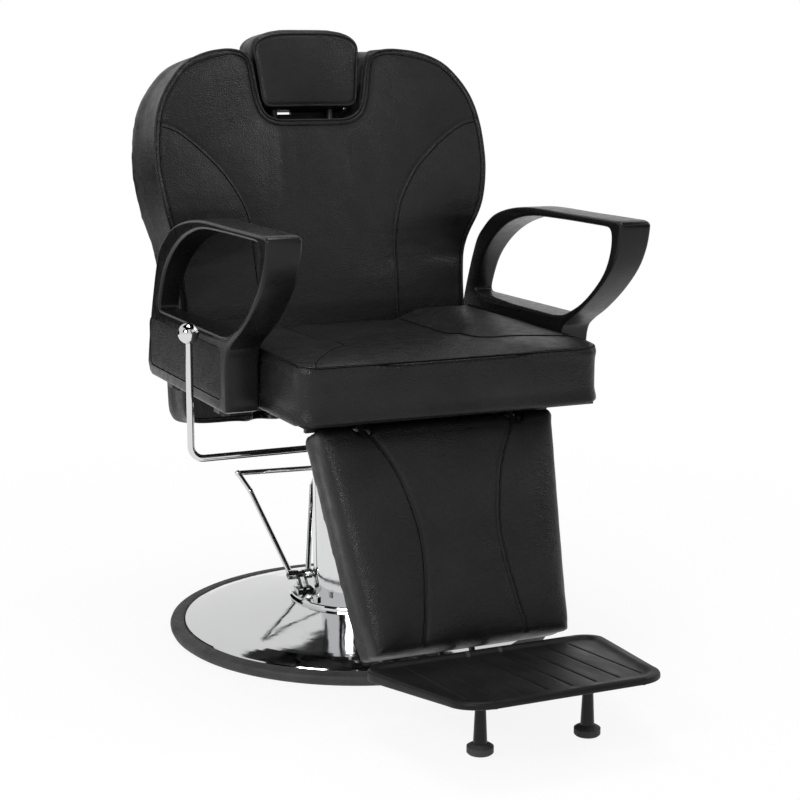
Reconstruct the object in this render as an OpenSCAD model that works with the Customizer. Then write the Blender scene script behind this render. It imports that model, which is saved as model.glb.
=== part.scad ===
// Hydraulic reclining barber chair.
// Millimetres, Z up, floor at Z = 0. The sitter faces -Y and has -X on the right-hand side.
// Names ending in _z are heights above the floor, names ending in _y are places along Y.

/* [Base] */
// Diameter of the floor ring
base_d = 612; // [560:4:680]
// Height of the floor ring
ring_h = 19; // [16:1:26]
// Width of the floor ring seen from above
ring_w = 22; // [16:1:30]
// Height of the pan where it meets the collar
pan_h = 53; // [40:1:60]
// Diameter of the collar round the pump
collar_d = 230; // [215:5:250]
// Thickness of the collar
collar_t = 7; // [6:1:20]
// Outside diameter of the pump cover
cover_d = 152; // [144:2:158]
// Wall of the pump cover
cover_wall = 2.5; // [1.5:0.5:4]
// Diameter of the ram
ram_d = 50; // [40:1:54]
// Bore of the pump cylinder
cylinder_bore = 64; // [60:1:66]
// Wall of the pump cylinder
cylinder_wall = 4; // [3:0.5:5]
// Greatest rise of the seat
lift = 150; // [100:5:160]

/* [Pedal] */
// Wire diameter of the foot pedal
pedal_wire = 9; // [6:0.5:10]
// Length of the pedal from its pivot to the kink
pedal_arm = 162; // [130:2:180]
// Width of the pedal between the wires at the tread bar
pedal_w = 140; // [110:2:160]
// Diameter of the pedal shaft
pedal_shaft_d = 10; // [8:0.5:12]

/* [Seat] */
// Height of the seat's underside above the floor
seat_z = 403; // [395:1:430]
// Width of the seat cushion
seat_w = 476; // [460:2:480]
// Distance from the swivel axis to the seat's front face
seat_front = 350; // [330:2:380]
// Height of the bolsters above the seat's underside
seat_h = 97; // [85:1:104]
// Depth of the hollow between the bolsters
seat_dip = 18; // [8:1:26]
// Width of the centre panel
seat_panel_w = 208; // [180:2:240]
// Radius of the seat's front corners
seat_corner = 28; // [18:1:40]
// Thickness of the plywood boards
board_t = 12; // [9:1:15]

/* [Frame] */
// Distance of each rail from the middle
rail_x = 120; // [114:1:124]
// Width of a rail
rail_w = 30; // [24:1:34]
// Height of a rail
rail_h = 20; // [18:1:22]
// Thickness of the mounting plate
mount_t = 6; // [5:1:8]
// Thickness of a hinge ear
ear_t = 8; // [6:1:9]
// Diameter of the hinge pins
pin_d = 10; // [8:0.5:11]

/* [Back] */
// Height of the backrest along its rear face
back_len = 600; // [580:1:625]
// Width of the backrest at the wings
back_w = 574; // [560:2:600]
// Gap between the backrest's lower part and an armrest
waist_gap = 8; // [6:1:18]
// Thickness of the backrest in the small of the back
back_t = 130; // [122:1:131]
// Thickness of the backrest at the top
back_top_t = 65; // [55:1:75]
// Forward slope of the wings
wing_slope = 0.23; // [0.11:0.02:0.29]
// Lean of the backrest's rear face
back_lean = 6.8; // [5:0.2:8]
// Greatest recline from the upright position
recline = 50; // [30:1:50]

/* [Headrest] */
// Depth of the notch for the headrest below the top of the backrest
notch_depth = 114; // [100:1:120]
// Width of the headrest at the top
head_w = 196; // [160:2:196]
// Height of the headrest
head_h = 130; // [100:1:140]
// Thickness of the headrest
head_t = 79; // [60:1:84]
// Travel of the headrest
head_travel = 70; // [40:2:80]
// Distance between the headrest stalks
stalk_gap = 100; // [60:2:110]
// Diameter of a headrest stalk
stalk_d = 12; // [10:0.5:14]

/* [Armrests] */
// Gap between the seat cushion and an armrest
arm_gap = 3; // [2:1:8]
// Height of an armrest above the seat's underside
arm_h = 268; // [250:2:290]
// Distance from the swivel axis to an armrest's tip
arm_reach = 379; // [350:1:390]
// Width of an armrest at its front
arm_w = 51; // [44:1:60]
// Width of an armrest at its rear
arm_rear_w = 34; // [28:1:36]
// Depth of the side panel's recess
panel_t = 3; // [2:0.5:5]

/* [Leg rest] */
// Length of the leg rest cushion
leg_len = 324; // [290:1:340]
// Width of the leg rest at the top
leg_top_w = 374; // [350:2:390]
// Width of the leg rest at the bottom
leg_low_w = 308; // [280:2:330]
// Thickness of the leg rest
leg_t = 78; // [70:1:84]
// Lean of the leg rest
leg_lean = 22.5; // [20:0.5:24]
// Length of the footplate
plate_len = 262; // [230:2:280]
// Width of the footplate at its rear
plate_w = 364; // [320:2:380]
// Width of the footplate at its front
plate_front_w = 306; // [260:2:320]
// Upward tilt of the footplate
plate_tilt = 5.5; // [4:0.5:7]
// Diameter of a foot pad
pad_d = 36; // [28:1:44]
// Gap between the foot pads and the floor
foot_gap = 5; // [3:0.5:8]

/* [Recline lever] */
// Diameter of the lever rod
lever_d = 10.6; // [9:0.2:12]
// Distance from an armrest's outer face to the lever's upright
lever_side = 24; // [20:0.5:34]
// Height of the lever's ball above its axle
lever_h = 186; // [160:2:200]
// Diameter of the ball knob
ball_d = 31; // [26:1:34]

/* [Hidden] */

$fn = 64;
run_fit = 0.05;
gap = 0.3;
eps = 1;

// Base and pump
ring_in = base_d / 2 - ring_w;
plate_low = 0;
plate_top = 8;
collar_z = pan_h + collar_t;
collar_hole_r = 4.2;
bolt_r = 4;
bolt_ring_r = (collar_d + cover_d) / 4;
ram_r = ram_d / 2;
cylinder_r = cylinder_bore / 2;
cylinder_out = cylinder_r + cylinder_wall;
piston_z = plate_top + 16;
piston_h = 20;

// Seat frame, from the seat's underside down
rail_z = seat_z - rail_h;
mount_z = rail_z - mount_t;
hub_h = 59;
hub_z = mount_z - hub_h;
hub_r = ram_r + 9;
cover_top = hub_z - 28;
gland_h = 24;
lid_t = 4;
ram_top = mount_z - 11;
rail_front_y = -250;
front_bar_w = leg_top_w + 12;
front_bar_h = 24;
front_bar_t = 8;
rail_rear_y = 98;
mount_y = rail_rear_y;
mount_x = rail_x + rail_w / 2;

// Armrests, and the backrest between them
arm_x = seat_w / 2 + arm_gap + arm_w;
waist_w = 2 * (arm_x - arm_rear_w - waist_gap);

// Recline pivot and leg rest pivot
back_pivot = [150, seat_z - 43];
leg_pivot = [-283, seat_z - 31];
ear_r = 11;
leg_ear_r = 9.5;
plate_gap = 0.5;
hinge_plate_t = 4;
pocket_w = ear_t + 2 * (plate_gap + hinge_plate_t) + 4;

// Lever, gas spring and link
lever_axle = [-114, seat_z - 79.5];
lever_x = arm_x + lever_side;
lever_bend = 20;
lock_x = 100;
lock_z = seat_z - 105;
lock_r = 14;
lock_arm = 65;
lock_half = recline / 2;
lock_front_y = -95;
lock_rear_y = 55;
lock_pin_r = 4;
lock_play = 0.6;
link_x = 150;
link_t = 6;
link_arm = [45, -65];
finger_t = 5.5;
lock_bore_r = lock_r - 3;
lock_rod_r = 5;
release_r = 3;

// Backrest frame: local X, depth ahead of the rear plane as -Y, height along the rear plane as Z
back_origin = [0, 214, seat_z - 93];
notch_h = back_len - notch_depth;
head_taper = 14;
notch_low_w = head_w - 22;
notch_top_w = head_w;
notch_r = 24;
head_low_h = notch_h + 17;
back_edge_r = 16;

// Leg rest frame: origin on its pivot, -Y towards its front face, Z up along the face
leg_front = 25;
leg_over = 12;
leg_bottom = leg_over - leg_len;
leg_rear = leg_t - leg_front;
foot_pivot = [-26.8, leg_bottom - 15.3];
foot_hinge_r = 9;
foot_pin_r = 4;
foot_lug_x = 22;
foot_plate_t = 6;

// Footplate frame: origin on its hinge, -Y towards its front edge
plate_over = 9;
plate_top_z = 8;
plate_t = 17;
plate_front_t = 10;
tread_drop = 5;
rim_w = 16;
foot_x = 80.5;
foot_ahead = 154;

upholstery = [0.035, 0.035, 0.038];
plastic = [0.06, 0.06, 0.065];
chrome = [0.8, 0.81, 0.83];
steel = [0.32, 0.33, 0.35];
ply = [0.62, 0.47, 0.3];
rubber = [0.1, 0.1, 0.105];

// ---------- helpers ----------

function clip(v, low, high) = max(low, min(high, v));
function ease(t) = let (c = clip(t, 0, 1)) c * c * (3 - 2 * c);
// Catmull-Rom point between b and c
function spline_point(a, b, c, d, t) =
    0.5 * (2 * b + (c - a) * t + (2 * a - 5 * b + 4 * c - d) * t * t + (3 * b - a - 3 * c + d) * t * t * t);
function open_curve(p, steps) = [
    for (i = [0:len(p) - 2]) for (s = [0:steps - 1])
        spline_point(p[max(i - 1, 0)], p[i], p[i + 1], p[min(i + 2, len(p) - 1)], s / steps),
    p[len(p) - 1]];
// Position spread from -1 to 1, closer together at both ends
function spread(i, n) = sin(90 * (2 * i / (n - 1) - 1));
// How far a rounded edge of radius r has dropped at distance d inside the edge
function edge_drop(d, r) = d >= r ? 0 : r - sqrt(max(0, r * r - (r - d) * (r - d)));
// Rounded rectangle as a list of points
function rounded_box(x0, y0, x1, y1, r, steps = 8) = [
    for (c = [[x1 - r, y0 + r, -90], [x1 - r, y1 - r, 0], [x0 + r, y1 - r, 90], [x0 + r, y0 + r, 180]])
        for (i = [0:steps])
            [c[0] + r * cos(c[2] + 90 * i / steps), c[1] + r * sin(c[2] + 90 * i / steps)]];

// Cylinder along X, centred on a (y, z) point
module bar_x(x0, x1, at, r) {
    translate([x0, at[0], at[1]]) rotate([0, 90, 0]) cylinder(r = r, h = x1 - x0);
}
// Plate across X with an outline given as (y, z) points
module plate_x(x0, x1, outline) {
    translate([x0, 0, 0]) rotate([90, 0, 90]) linear_extrude(x1 - x0) polygon(outline);
}
// Plate across Y with an outline given as (x, z) points
module plate_y(y0, y1, outline) {
    translate([0, y1, 0]) rotate([90, 0, 0]) linear_extrude(y1 - y0) polygon(outline);
}
module box(low, high) {
    translate(low) cube(high - low);
}
// Both sides of the chair
module both_sides() {
    children();
    mirror([1, 0, 0]) children();
}
// Round rod between two points
module rod(a, b, r) {
    v = b - a;
    translate(a) rotate([0, acos(v[2] / norm(v)), atan2(v[1], v[0])]) cylinder(r = r, h = norm(v));
}
// Hexagon bolt standing on z = 0 with its shank below
module hex_bolt(head_r, head_h, r, shank) {
    cylinder(r = head_r, h = head_h, $fn = 6);
    translate([0, 0, -shank]) cylinder(r = r, h = shank + 0.5);
}
// Upholstered pad: a grid of front points with columns along +X and rows along +Z, and a flat rear
// face at Y = 0 that has the same outline.
module flat_backed_pad(front) {
    n = len(front);
    m = len(front[0]);
    flat = function(p) [p[0], 0, p[2]];
    f = function(i, j) i * m + j;
    l = function(i) i == 0 ? low(0) : i == n - 1 ? high(0) : n * m + i - 1;
    r = function(i) i == 0 ? low(m - 1) : i == n - 1 ? high(m - 1) : n * m + n - 2 + i - 1;
    low = function(j) n * m + 2 * (n - 2) + j;
    high = function(j) n * m + 2 * (n - 2) + m + j;
    polyhedron(
        points = concat([for (row = front) each row],
            [for (i = [1:n - 2]) flat(front[i][0])], [for (i = [1:n - 2]) flat(front[i][m - 1])],
            [for (p = front[0]) flat(p)], [for (p = front[n - 1]) flat(p)]),
        faces = concat(
            [for (i = [0:n - 2]) for (j = [0:m - 2]) each
                [[f(i, j), f(i + 1, j), f(i + 1, j + 1)], [f(i, j), f(i + 1, j + 1), f(i, j + 1)]]],
            [for (i = [1:n - 3]) each [[l(i), r(i), r(i + 1)], [l(i), r(i + 1), l(i + 1)]]],
            [for (i = [0:n - 2]) each
                [[l(i), l(i + 1), f(i + 1, 0)], [l(i), f(i + 1, 0), f(i, 0)]]],
            [for (i = [0:n - 2]) each
                [[r(i), f(i, m - 1), f(i + 1, m - 1)], [r(i), f(i + 1, m - 1), r(i + 1)]]],
            [for (j = [0:m - 2]) each
                [[low(j), f(0, j), f(0, j + 1)], [low(j), f(0, j + 1), low(j + 1)],
                    [high(j), f(n - 1, j + 1), f(n - 1, j)], [high(j), high(j + 1), f(n - 1, j + 1)],
                    [l(1), low(j), low(j + 1)], [l(n - 2), high(j + 1), high(j)]]],
            [[l(1), low(m - 1), r(1)], [l(n - 2), r(n - 2), high(m - 1)]]));
}

// ---------- base and pump ----------

module base_ring() {
    r = base_d / 2;
    color(rubber) rotate_extrude($fn = 128)
        polygon([[ring_in, 0], [r - 8, 0], [r - 3, ring_h * 0.2], [r - 0.6, ring_h * 0.45],
            [r, ring_h * 0.65], [r - 1.5, ring_h * 0.85], [r - 6, ring_h * 0.97], [r - 12, ring_h],
            [ring_in + 3, ring_h], [ring_in, ring_h - 2]]);
}

module base_pan() {
    t = 3;
    low = ring_h - 9;
    rise = pan_h - low;
    edge = ring_in;
    run = edge - collar_d / 2;
    top = concat([[edge, plate_top], [edge, low + 5], [edge - 2, low + 9]],
        open_curve([[edge - 8, low + 11], [edge - run * 0.2, low + rise * 0.42],
            [edge - run * 0.45, low + rise * 0.6], [edge - run * 0.75, low + rise * 0.82],
            [collar_d / 2, pan_h]], 4));
    color(chrome) difference() {
        rotate_extrude($fn = 128)
            polygon(concat(top, [[cover_d / 2, pan_h], [cover_d / 2, pan_h - t],
                [collar_d / 2, pan_h - t], [edge - run * 0.45, low + rise * 0.6 - t],
                [edge - 10, low + 7], [edge - t, plate_top]]));
        collar_holes();
    }
}

module base_plate() {
    color(steel) translate([0, 0, plate_low]) cylinder(r = ring_in, h = plate_top - plate_low, $fn = 128);
}

module collar_holes() {
    for (a = [20, 110, 200, 290])
        rotate(a) translate([bolt_ring_r, 0, plate_top]) cylinder(r = collar_hole_r, h = collar_z);
}

module pump_collar() {
    r = collar_d / 2;
    color(chrome) difference() {
        translate([0, 0, pan_h]) rotate_extrude($fn = 128)
            polygon([[cover_d / 2, 0], [r, 0], [r, collar_t - 3], [r - 1, collar_t - 1],
                [r - 3, collar_t], [cover_d / 2, collar_t]]);
        collar_holes();
    }
}

module collar_bolts() {
    color(chrome) for (a = [20, 110, 200, 290])
        rotate(a) translate([bolt_ring_r, 0, collar_z]) hex_bolt(7, 5, bolt_r, collar_t + 8);
}

module pump_cover() {
    color(chrome) difference() {
        translate([0, 0, plate_top]) cylinder(d = cover_d, h = cover_top - plate_top, $fn = 128);
        translate([0, 0, plate_top - eps]) cylinder(d = cover_d - 2 * cover_wall, h = cover_top, $fn = 128);
        pedal_place() bar_x(20, 60, [0, 0], bushing_r);
    }
}

module cover_lid() {
    color(chrome) translate([0, 0, cover_top - lid_t]) difference() {
        cylinder(d = cover_d - 2 * cover_wall, h = lid_t, $fn = 128);
        translate([0, 0, -eps]) cylinder(r = cylinder_out, h = lid_t + 2 * eps);
    }
}

module pump_cylinder() {
    color(steel) translate([0, 0, plate_top]) difference() {
        cylinder(r = cylinder_out, h = cover_top - plate_top);
        translate([0, 0, 8]) cylinder(r = cylinder_r, h = cover_top);
    }
}

module ram_gland() {
    color(steel) translate([0, 0, cover_top - gland_h]) difference() {
        union() {
            cylinder(r = cylinder_r, h = gland_h);
            translate([0, 0, gland_h]) cylinder(r = cylinder_out - 1, h = 4);
        }
        translate([0, 0, -eps]) cylinder(r = ram_r + run_fit, h = gland_h + 4 + 2 * eps);
    }
}

// ---------- pedal ----------

pedal_turn = -6.5;
pedal_pivot = [-85, 54, collar_z + 18];
pedal_lean = 44.3;
pedal_half_low = 12;
pedal_half_kink = 53;
pedal_kink = [0, pedal_arm * sin(pedal_lean), pedal_arm * cos(pedal_lean)];
pedal_bar = pedal_kink + [0, 15.5, 28];
sleeve_r = pedal_shaft_d / 2 + 3;
strut_x = [3, 7.5];
sleeve_x = [8.2, 20];
bushing_r = pedal_shaft_d / 2 + 3;
cam_x = [38, 46];
cam_reach = 22;
plunger_r = 6;
plunger_z = 3.4;

module pedal_place() {
    translate(pedal_pivot) rotate(pedal_turn) children();
}

module pedal_bracket() {
    foot = -18;
    color(chrome) pedal_place() {
        box([-13, -42, foot], [13, -14, foot + 4]);
        difference() {
            for (s = [-1, 1])
                translate([s > 0 ? strut_x[0] : -strut_x[1], 0, 0]) {
                    plate_x(0, strut_x[1] - strut_x[0],
                        [[-38, foot + 3], [-20, foot + 3], [5, -5], [-5, 6]]);
                    bar_x(0, strut_x[1] - strut_x[0], [0, 0], sleeve_r - 0.5);
                }
            bar_x(-20, 20, [0, 0], pedal_shaft_d / 2 + run_fit);
        }
    }
}

module shaft_bushing() {
    color(steel) pedal_place() difference() {
        bar_x(24, 36, [0, 0], bushing_r);
        bar_x(20, 40, [0, 0], pedal_shaft_d / 2 + run_fit);
    }
}

module pump_pedal() {
    r = pedal_wire / 2;
    color(chrome) pedal_place() {
        for (s = [-1, 1]) {
            low = [s * (sleeve_x[0] + sleeve_x[1]) / 2, 0, 0];
            kink = pedal_kink + [s * pedal_half_kink, 0, 0];
            top = pedal_bar + [s * pedal_w / 2, 0, 0];
            difference() {
                union() {
                    bar_x(s > 0 ? sleeve_x[0] : -sleeve_x[1], s > 0 ? sleeve_x[1] : -sleeve_x[0],
                        [0, 0], sleeve_r);
                    rod(low, kink, r);
                }
                bar_x(-30, 30, [0, 0], pedal_shaft_d / 2);
            }
            translate(kink) sphere(r + 0.5);
            rod(kink, top, r);
            translate(top) sphere(r + 0.7);
        }
        rod(pedal_bar - [pedal_w / 2, 0, 0], pedal_bar + [pedal_w / 2, 0, 0], r - 0.2);
    }
}

module pedal_shaft() {
    color(steel) pedal_place() {
        bar_x(-20, cam_x[1], [0, 0], pedal_shaft_d / 2);
        bar_x(cam_x[0], cam_x[1], [0, 0], pedal_shaft_d / 2 + 3);
        box([cam_x[0], -cam_reach, -4], [cam_x[1], 0, 3]);
    }
}

module pump_plunger() {
    color(steel) pedal_place() translate([(cam_x[0] + cam_x[1]) / 2, -cam_reach, plunger_z]) {
        cylinder(r = 3, h = 8);
        translate([0, 0, 8]) cylinder(r = plunger_r, h = 36);
    }
}

module plunger_block() {
    low = 14;
    high = 66;
    color(steel) difference() {
        pedal_place() translate([(cam_x[0] + cam_x[1]) / 2, -cam_reach, 0]) {
            translate([0, 0, low]) cylinder(r = plunger_r + 5, h = high - low);
            box([0, -11, low], [24, 11, high]);
        }
        pedal_place() translate([(cam_x[0] + cam_x[1]) / 2, -cam_reach, low - eps])
            cylinder(r = plunger_r + run_fit, h = high - low - 4);
        cylinder(r = cylinder_out, h = cover_top);
    }
}

// ---------- lift and seat frame ----------

module lift_ram() {
    color(chrome) translate([0, 0, piston_z]) cylinder(r = ram_r, h = ram_top - piston_z);
}

module ram_piston() {
    color(steel) translate([0, 0, piston_z + 3]) difference() {
        cylinder(r = cylinder_r - run_fit, h = piston_h);
        translate([0, 0, -eps]) cylinder(r = ram_r, h = piston_h + 2 * eps);
    }
}

mount_bolt_y = 48;

module mount_plate() {
    color(steel) difference() {
        union() {
            box([-mount_x, -mount_y, mount_z], [mount_x, mount_y, rail_z]);
            translate([0, 0, hub_z]) cylinder(r = hub_r, h = hub_h + 1);
        }
        translate([0, 0, hub_z - eps])
            cylinder(r = ram_r + run_fit, h = ram_top - hub_z + eps + gap);
        for (x = [-rail_x, rail_x]) for (y = [-mount_bolt_y, mount_bolt_y])
            translate([x, y, mount_z - eps]) cylinder(r = collar_hole_r, h = mount_t + 2 * eps);
    }
}

module mount_bolts() {
    color(steel) for (x = [-rail_x, rail_x]) for (y = [-mount_bolt_y, mount_bolt_y])
        translate([x, y, mount_z]) mirror([0, 0, 1]) hex_bolt(7, 5, bolt_r, mount_t + 1.5);
}

module seat_rails() {
    wall = 2;
    color(steel) for (x = [-rail_x, rail_x]) difference() {
        box([x - rail_w / 2, rail_front_y, rail_z], [x + rail_w / 2, rail_rear_y, seat_z]);
        box([x - rail_w / 2 + wall, rail_front_y - eps, rail_z + wall],
            [x + rail_w / 2 - wall, rail_rear_y + eps, seat_z - wall]);
        for (y = [-mount_bolt_y, mount_bolt_y])
            translate([x, y, rail_z - eps]) cylinder(r = collar_hole_r, h = wall + 2 * eps);
    }
}

// Bar across the front of the rails, which closes the gap above the leg rest
module front_bar() {
    color(steel) box([-front_bar_w / 2, rail_front_y - front_bar_t, seat_z - front_bar_h],
        [front_bar_w / 2, rail_front_y, seat_z]);
}

tube_half = 10;
module cross_tubes() {
    inner = rail_x - rail_w / 2;
    color(steel) for (y = [lever_axle[0], rail_rear_y - 2 * tube_half])
        difference() {
            box([-inner, y - tube_half, rail_z], [inner, y + tube_half, seat_z]);
            box([-inner - eps, y - tube_half + 2, rail_z + 2], [inner + eps, y + tube_half - 2, seat_z - 2]);
        }
}

module front_hinge_ears() {
    front_y = rail_front_y - front_bar_t;
    y = leg_pivot[0];
    z = leg_pivot[1];
    r = leg_ear_r;
    color(steel) for (x = [-rail_x, rail_x]) difference() {
        union() {
            plate_x(x - ear_t / 2, x + ear_t / 2,
                [[y - r * 0.67, z + r * 0.74], [front_y - 6, seat_z - 3], [front_y, seat_z - 3],
                    [front_y, seat_z - front_bar_h], [front_y - 4, z - 1], [y + r * 0.3, z - r * 0.95]]);
            bar_x(x - ear_t / 2, x + ear_t / 2, leg_pivot, r);
        }
        bar_x(x - ear_t, x + ear_t, leg_pivot, pin_d / 2 + run_fit);
    }
}

module rear_hinge_ears() {
    y = back_pivot[0];
    z = back_pivot[1];
    r = ear_r;
    color(steel) for (x = [-rail_x, rail_x]) difference() {
        union() {
            plate_x(x - ear_t / 2, x + ear_t / 2,
                [[rail_rear_y - 40, mount_z], [rail_rear_y, mount_z], [rail_rear_y, seat_z - 8],
                    [rail_rear_y + 6, seat_z - 8], [y + r * 0.5, z + r * 0.86], [y - r * 0.2, z - r * 0.97],
                    [rail_rear_y, z - r * 0.4], [rail_rear_y - 40, mount_z - 9]]);
            bar_x(x - ear_t / 2, x + ear_t / 2, back_pivot, r);
        }
        bar_x(x - ear_t, x + ear_t, back_pivot, pin_d / 2 + run_fit);
    }
}

arm_bar_y = [-150, 75];
arm_bar_t = 6;
arm_bolt_x = arm_x - 17;
arm_bolt_grip = 30;

module arm_brackets() {
    color(steel) both_sides() for (y = arm_bar_y) difference() {
        box([rail_x + rail_w / 2, y - 12, seat_z - arm_bar_t], [arm_x - 4, y + 12, seat_z]);
        translate([arm_bolt_x, y, seat_z - arm_bar_t - eps])
            cylinder(r = collar_hole_r, h = arm_bar_t + 2 * eps);
    }
}

module arm_bolts() {
    color(chrome) both_sides() for (y = arm_bar_y)
        translate([arm_bolt_x, y, seat_z - arm_bar_t]) mirror([0, 0, 1])
            hex_bolt(6.5, 5, bolt_r, arm_bar_t + arm_bolt_grip);
}

seat_rear_y = 99;
board_inset = 12;
module seat_board_space(below = 0) {
    box([-seat_w / 2 + board_inset, -seat_front + board_inset, seat_z - below],
        [seat_w / 2 - board_inset, seat_rear_y - board_inset, seat_z + board_t]);
}

module seat_board() {
    color(ply) seat_board_space();
}

// Height of the seat's upholstery above its underside at (x, y)
function seat_height(x, y) =
    let (bolster = ease((abs(x) - seat_panel_w / 2 + 16) / 56),
        front_roll = ease((-100 - y) / 62),
        outer = ease((abs(x) - 150) / (seat_w / 2 - 150)),
        ahead = clip((y + seat_front) / 60, 0, 1))
    seat_h - seat_dip * (1 - bolster) * (1 - 0.66 * front_roll) - outer
        - 5 * (1 - ahead) * (1 - ahead) - 2 * front_roll;

module seat_cushion() {
    n = 27;
    m = 31;
    edge_r = 11;
    mid = (seat_rear_y - seat_front) / 2;
    half = (seat_rear_y + seat_front) / 2;
    y_at = function(i) mid + half * spread(i, n);
    w_at = function(i) seat_w / 2 - edge_drop(y_at(i) + seat_front, seat_corner)
        - edge_drop(seat_rear_y - y_at(i), 12);
    front = [for (i = [0:n - 1]) [for (j = [0:m - 1])
        let (x = w_at(i) * spread(j, m), y = y_at(i),
            inside = min(w_at(i) - abs(x), y + seat_front, seat_rear_y - y))
        [x, -seat_height(x, y) + edge_drop(inside, edge_r), y]]];
    color(upholstery) difference() {
        translate([0, 0, seat_z]) rotate([-90, 0, 0]) flat_backed_pad(front);
        seat_board_space(eps);
    }
}

// ---------- armrests ----------

arm_front_y = -204;
panel_y = [-184, 165];
panel_z = [17, 94];

// A point of an armrest's profile as (y, height above the seat's underside)
function arm_point(p) = [p[0] * arm_reach / 379, p[1] * arm_h / 268];
// Outer edge of an armrest
function arm_outline() = [for (p = concat(
    [[arm_front_y, 8], [arm_front_y + 10, 0], [160, 0], [174, 6]],
    open_curve([[181, 20], [170, 62], [148, 124], [116, 190], [80, 222], [20, 250], [-88, 267],
        [-234, 268], [-366, 268]], 5),
    open_curve([[-377, 266], [-379, 256], [-371, 227], [-351, 195], [-313, 160], [-267, 128],
        [-231, 108], [arm_front_y - 9, 95], [arm_front_y - 9, 84]], 4))) arm_point(p)];

// Hand opening of an armrest
function arm_opening() = [for (p = concat(
    [[-180, 110], [104, 110]],
    open_curve([[113, 119], [89, 164], [55, 196], [11, 222], [-40, 241], [-106, 254], [-202, 257],
        [-328, 257]], 4),
    open_curve([[-344, 255], [-351, 245], [-348, 221], [-333, 192], [-303, 163], [-264, 136],
        [-218, 116], [-190, 111]], 4))) arm_point(p)];

module arm_shape() {
    inner = arm_x - arm_w;
    difference() {
        translate([0, 0, seat_z]) plate_x(inner, arm_x, arm_outline());
        translate([0, 0, seat_z]) plate_x(inner - eps, arm_x + eps, arm_opening());
        translate([0, 0, seat_z - eps]) linear_extrude(400)
            polygon([[inner - 5, 400], [inner - 5, -60], [inner, -60], [arm_x - arm_rear_w, 120],
                [arm_x - arm_rear_w, 400]]);
        translate([0, 0, seat_z]) plate_x(arm_x - panel_t, arm_x + eps,
            rounded_box(panel_y[0], panel_z[0], panel_y[1], panel_z[1], 14));
        for (y = arm_bar_y)
            translate([arm_bolt_x, y, seat_z - eps]) cylinder(r = collar_hole_r, h = arm_bolt_grip + 4);
    }
}

module panel_shape() {
    translate([0, 0, seat_z]) plate_x(arm_x - panel_t, arm_x - 0.5,
        rounded_box(panel_y[0] + 1.2, panel_z[0] + 1.2, panel_y[1] - 1.2, panel_z[1] - 1.2, 13));
}

module armrest_left() {
    color(plastic) arm_shape();
}
module armrest_right() {
    color(plastic) mirror([1, 0, 0]) arm_shape();
}
module arm_panel_left() {
    color(plastic) panel_shape();
}
module arm_panel_right() {
    color(plastic) mirror([1, 0, 0]) panel_shape();
}

// ---------- recline lever and gas spring ----------

bearing_gap = 14;
bearing_t = 4;
bearing_x = [[-100, -100 + bearing_t], [lock_x + bearing_gap, lock_x + bearing_gap + bearing_t]];
lever_inner_x = lock_x + bearing_gap + 2 * bearing_t;

module lever_bearings() {
    y = lever_axle[0];
    z = lever_axle[1];
    color(steel) for (x = bearing_x) difference() {
        union() {
            plate_x(x[0], x[1], [[y - 9, z], [y + 9, z], [y + 10, rail_z], [y - 10, rail_z]]);
            bar_x(x[0], x[1], lever_axle, 9);
        }
        bar_x(x[0] - eps, x[1] + eps, lever_axle, lever_d / 2 + run_fit);
    }
}

module lever_rod() {
    r = lever_d / 2;
    y = lever_axle[0];
    z = lever_axle[1];
    color(chrome) {
        bar_x(-lever_x + lever_bend, lever_inner_x, lever_axle, r);
        translate([-lever_x + lever_bend, y, z + lever_bend]) rotate([90, 0, 0]) rotate(180)
            rotate_extrude(angle = 90) translate([lever_bend, 0]) circle(r = r);
        translate([-lever_x, y, z + lever_bend]) cylinder(r = r, h = lever_h - lever_bend - 4);
    }
}

module lever_ball() {
    color(chrome) translate([-lever_x, lever_axle[0], lever_axle[1] + lever_h]) difference() {
        sphere(d = ball_d);
        translate([0, 0, -ball_d]) cylinder(d = lever_d, h = ball_d - 4);
    }
}

module lever_finger() {
    z = lever_axle[1];
    y = lever_axle[0];
    half = 5;
    color(steel) difference() {
        union() {
            bar_x(lock_x - half, lock_x + half, lever_axle, 10);
            box([lock_x - half, y, lock_z - 4], [lock_x + half, y + finger_t, z - 6]);
        }
        bar_x(lock_x - half - eps, lock_x + half + eps, lever_axle, lever_d / 2);
    }
}

// Cylinder along Y on the gas spring's axis
module lock_bar(y0, y1, r) {
    translate([lock_x, y0, lock_z]) rotate([-90, 0, 0]) cylinder(r = r, h = y1 - y0);
}

module lock_cylinder() {
    color(steel) difference() {
        lock_bar(lock_front_y, lock_rear_y, lock_r);
        lock_bar(lock_front_y + 10, lock_rear_y - 10, lock_bore_r);
        lock_bar(lock_rear_y - 12, lock_rear_y + eps, lock_rod_r + run_fit);
        lock_bar(lock_front_y - eps, lock_front_y + 12, release_r + run_fit);
    }
}

module release_pin() {
    color(steel) lock_bar(lever_axle[0] + finger_t + gap + 0.5, lock_front_y + 7, release_r);
}

hanger_inset = [20, 25];
module lock_hangers() {
    color(steel) for (y = [lock_front_y + hanger_inset[0], lock_rear_y - hanger_inset[1]]) difference() {
        union() {
            lock_bar(y - 3, y + 3, lock_r + 4);
            plate_y(y - 3, y + 3, [[lock_x - 13, lock_z], [lock_x + lock_r + 4, lock_z],
                [lock_x + lock_r + 4, mount_z], [lock_x - 13, mount_z]]);
        }
        lock_bar(y - 4, y + 4, lock_r);
    }
}

lock_pin = back_pivot + lock_arm * [sin(lock_half), -cos(lock_half)];
lock_slot = lock_arm * (1 - cos(lock_half)) / 2 + lock_pin_r + lock_play;

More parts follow.
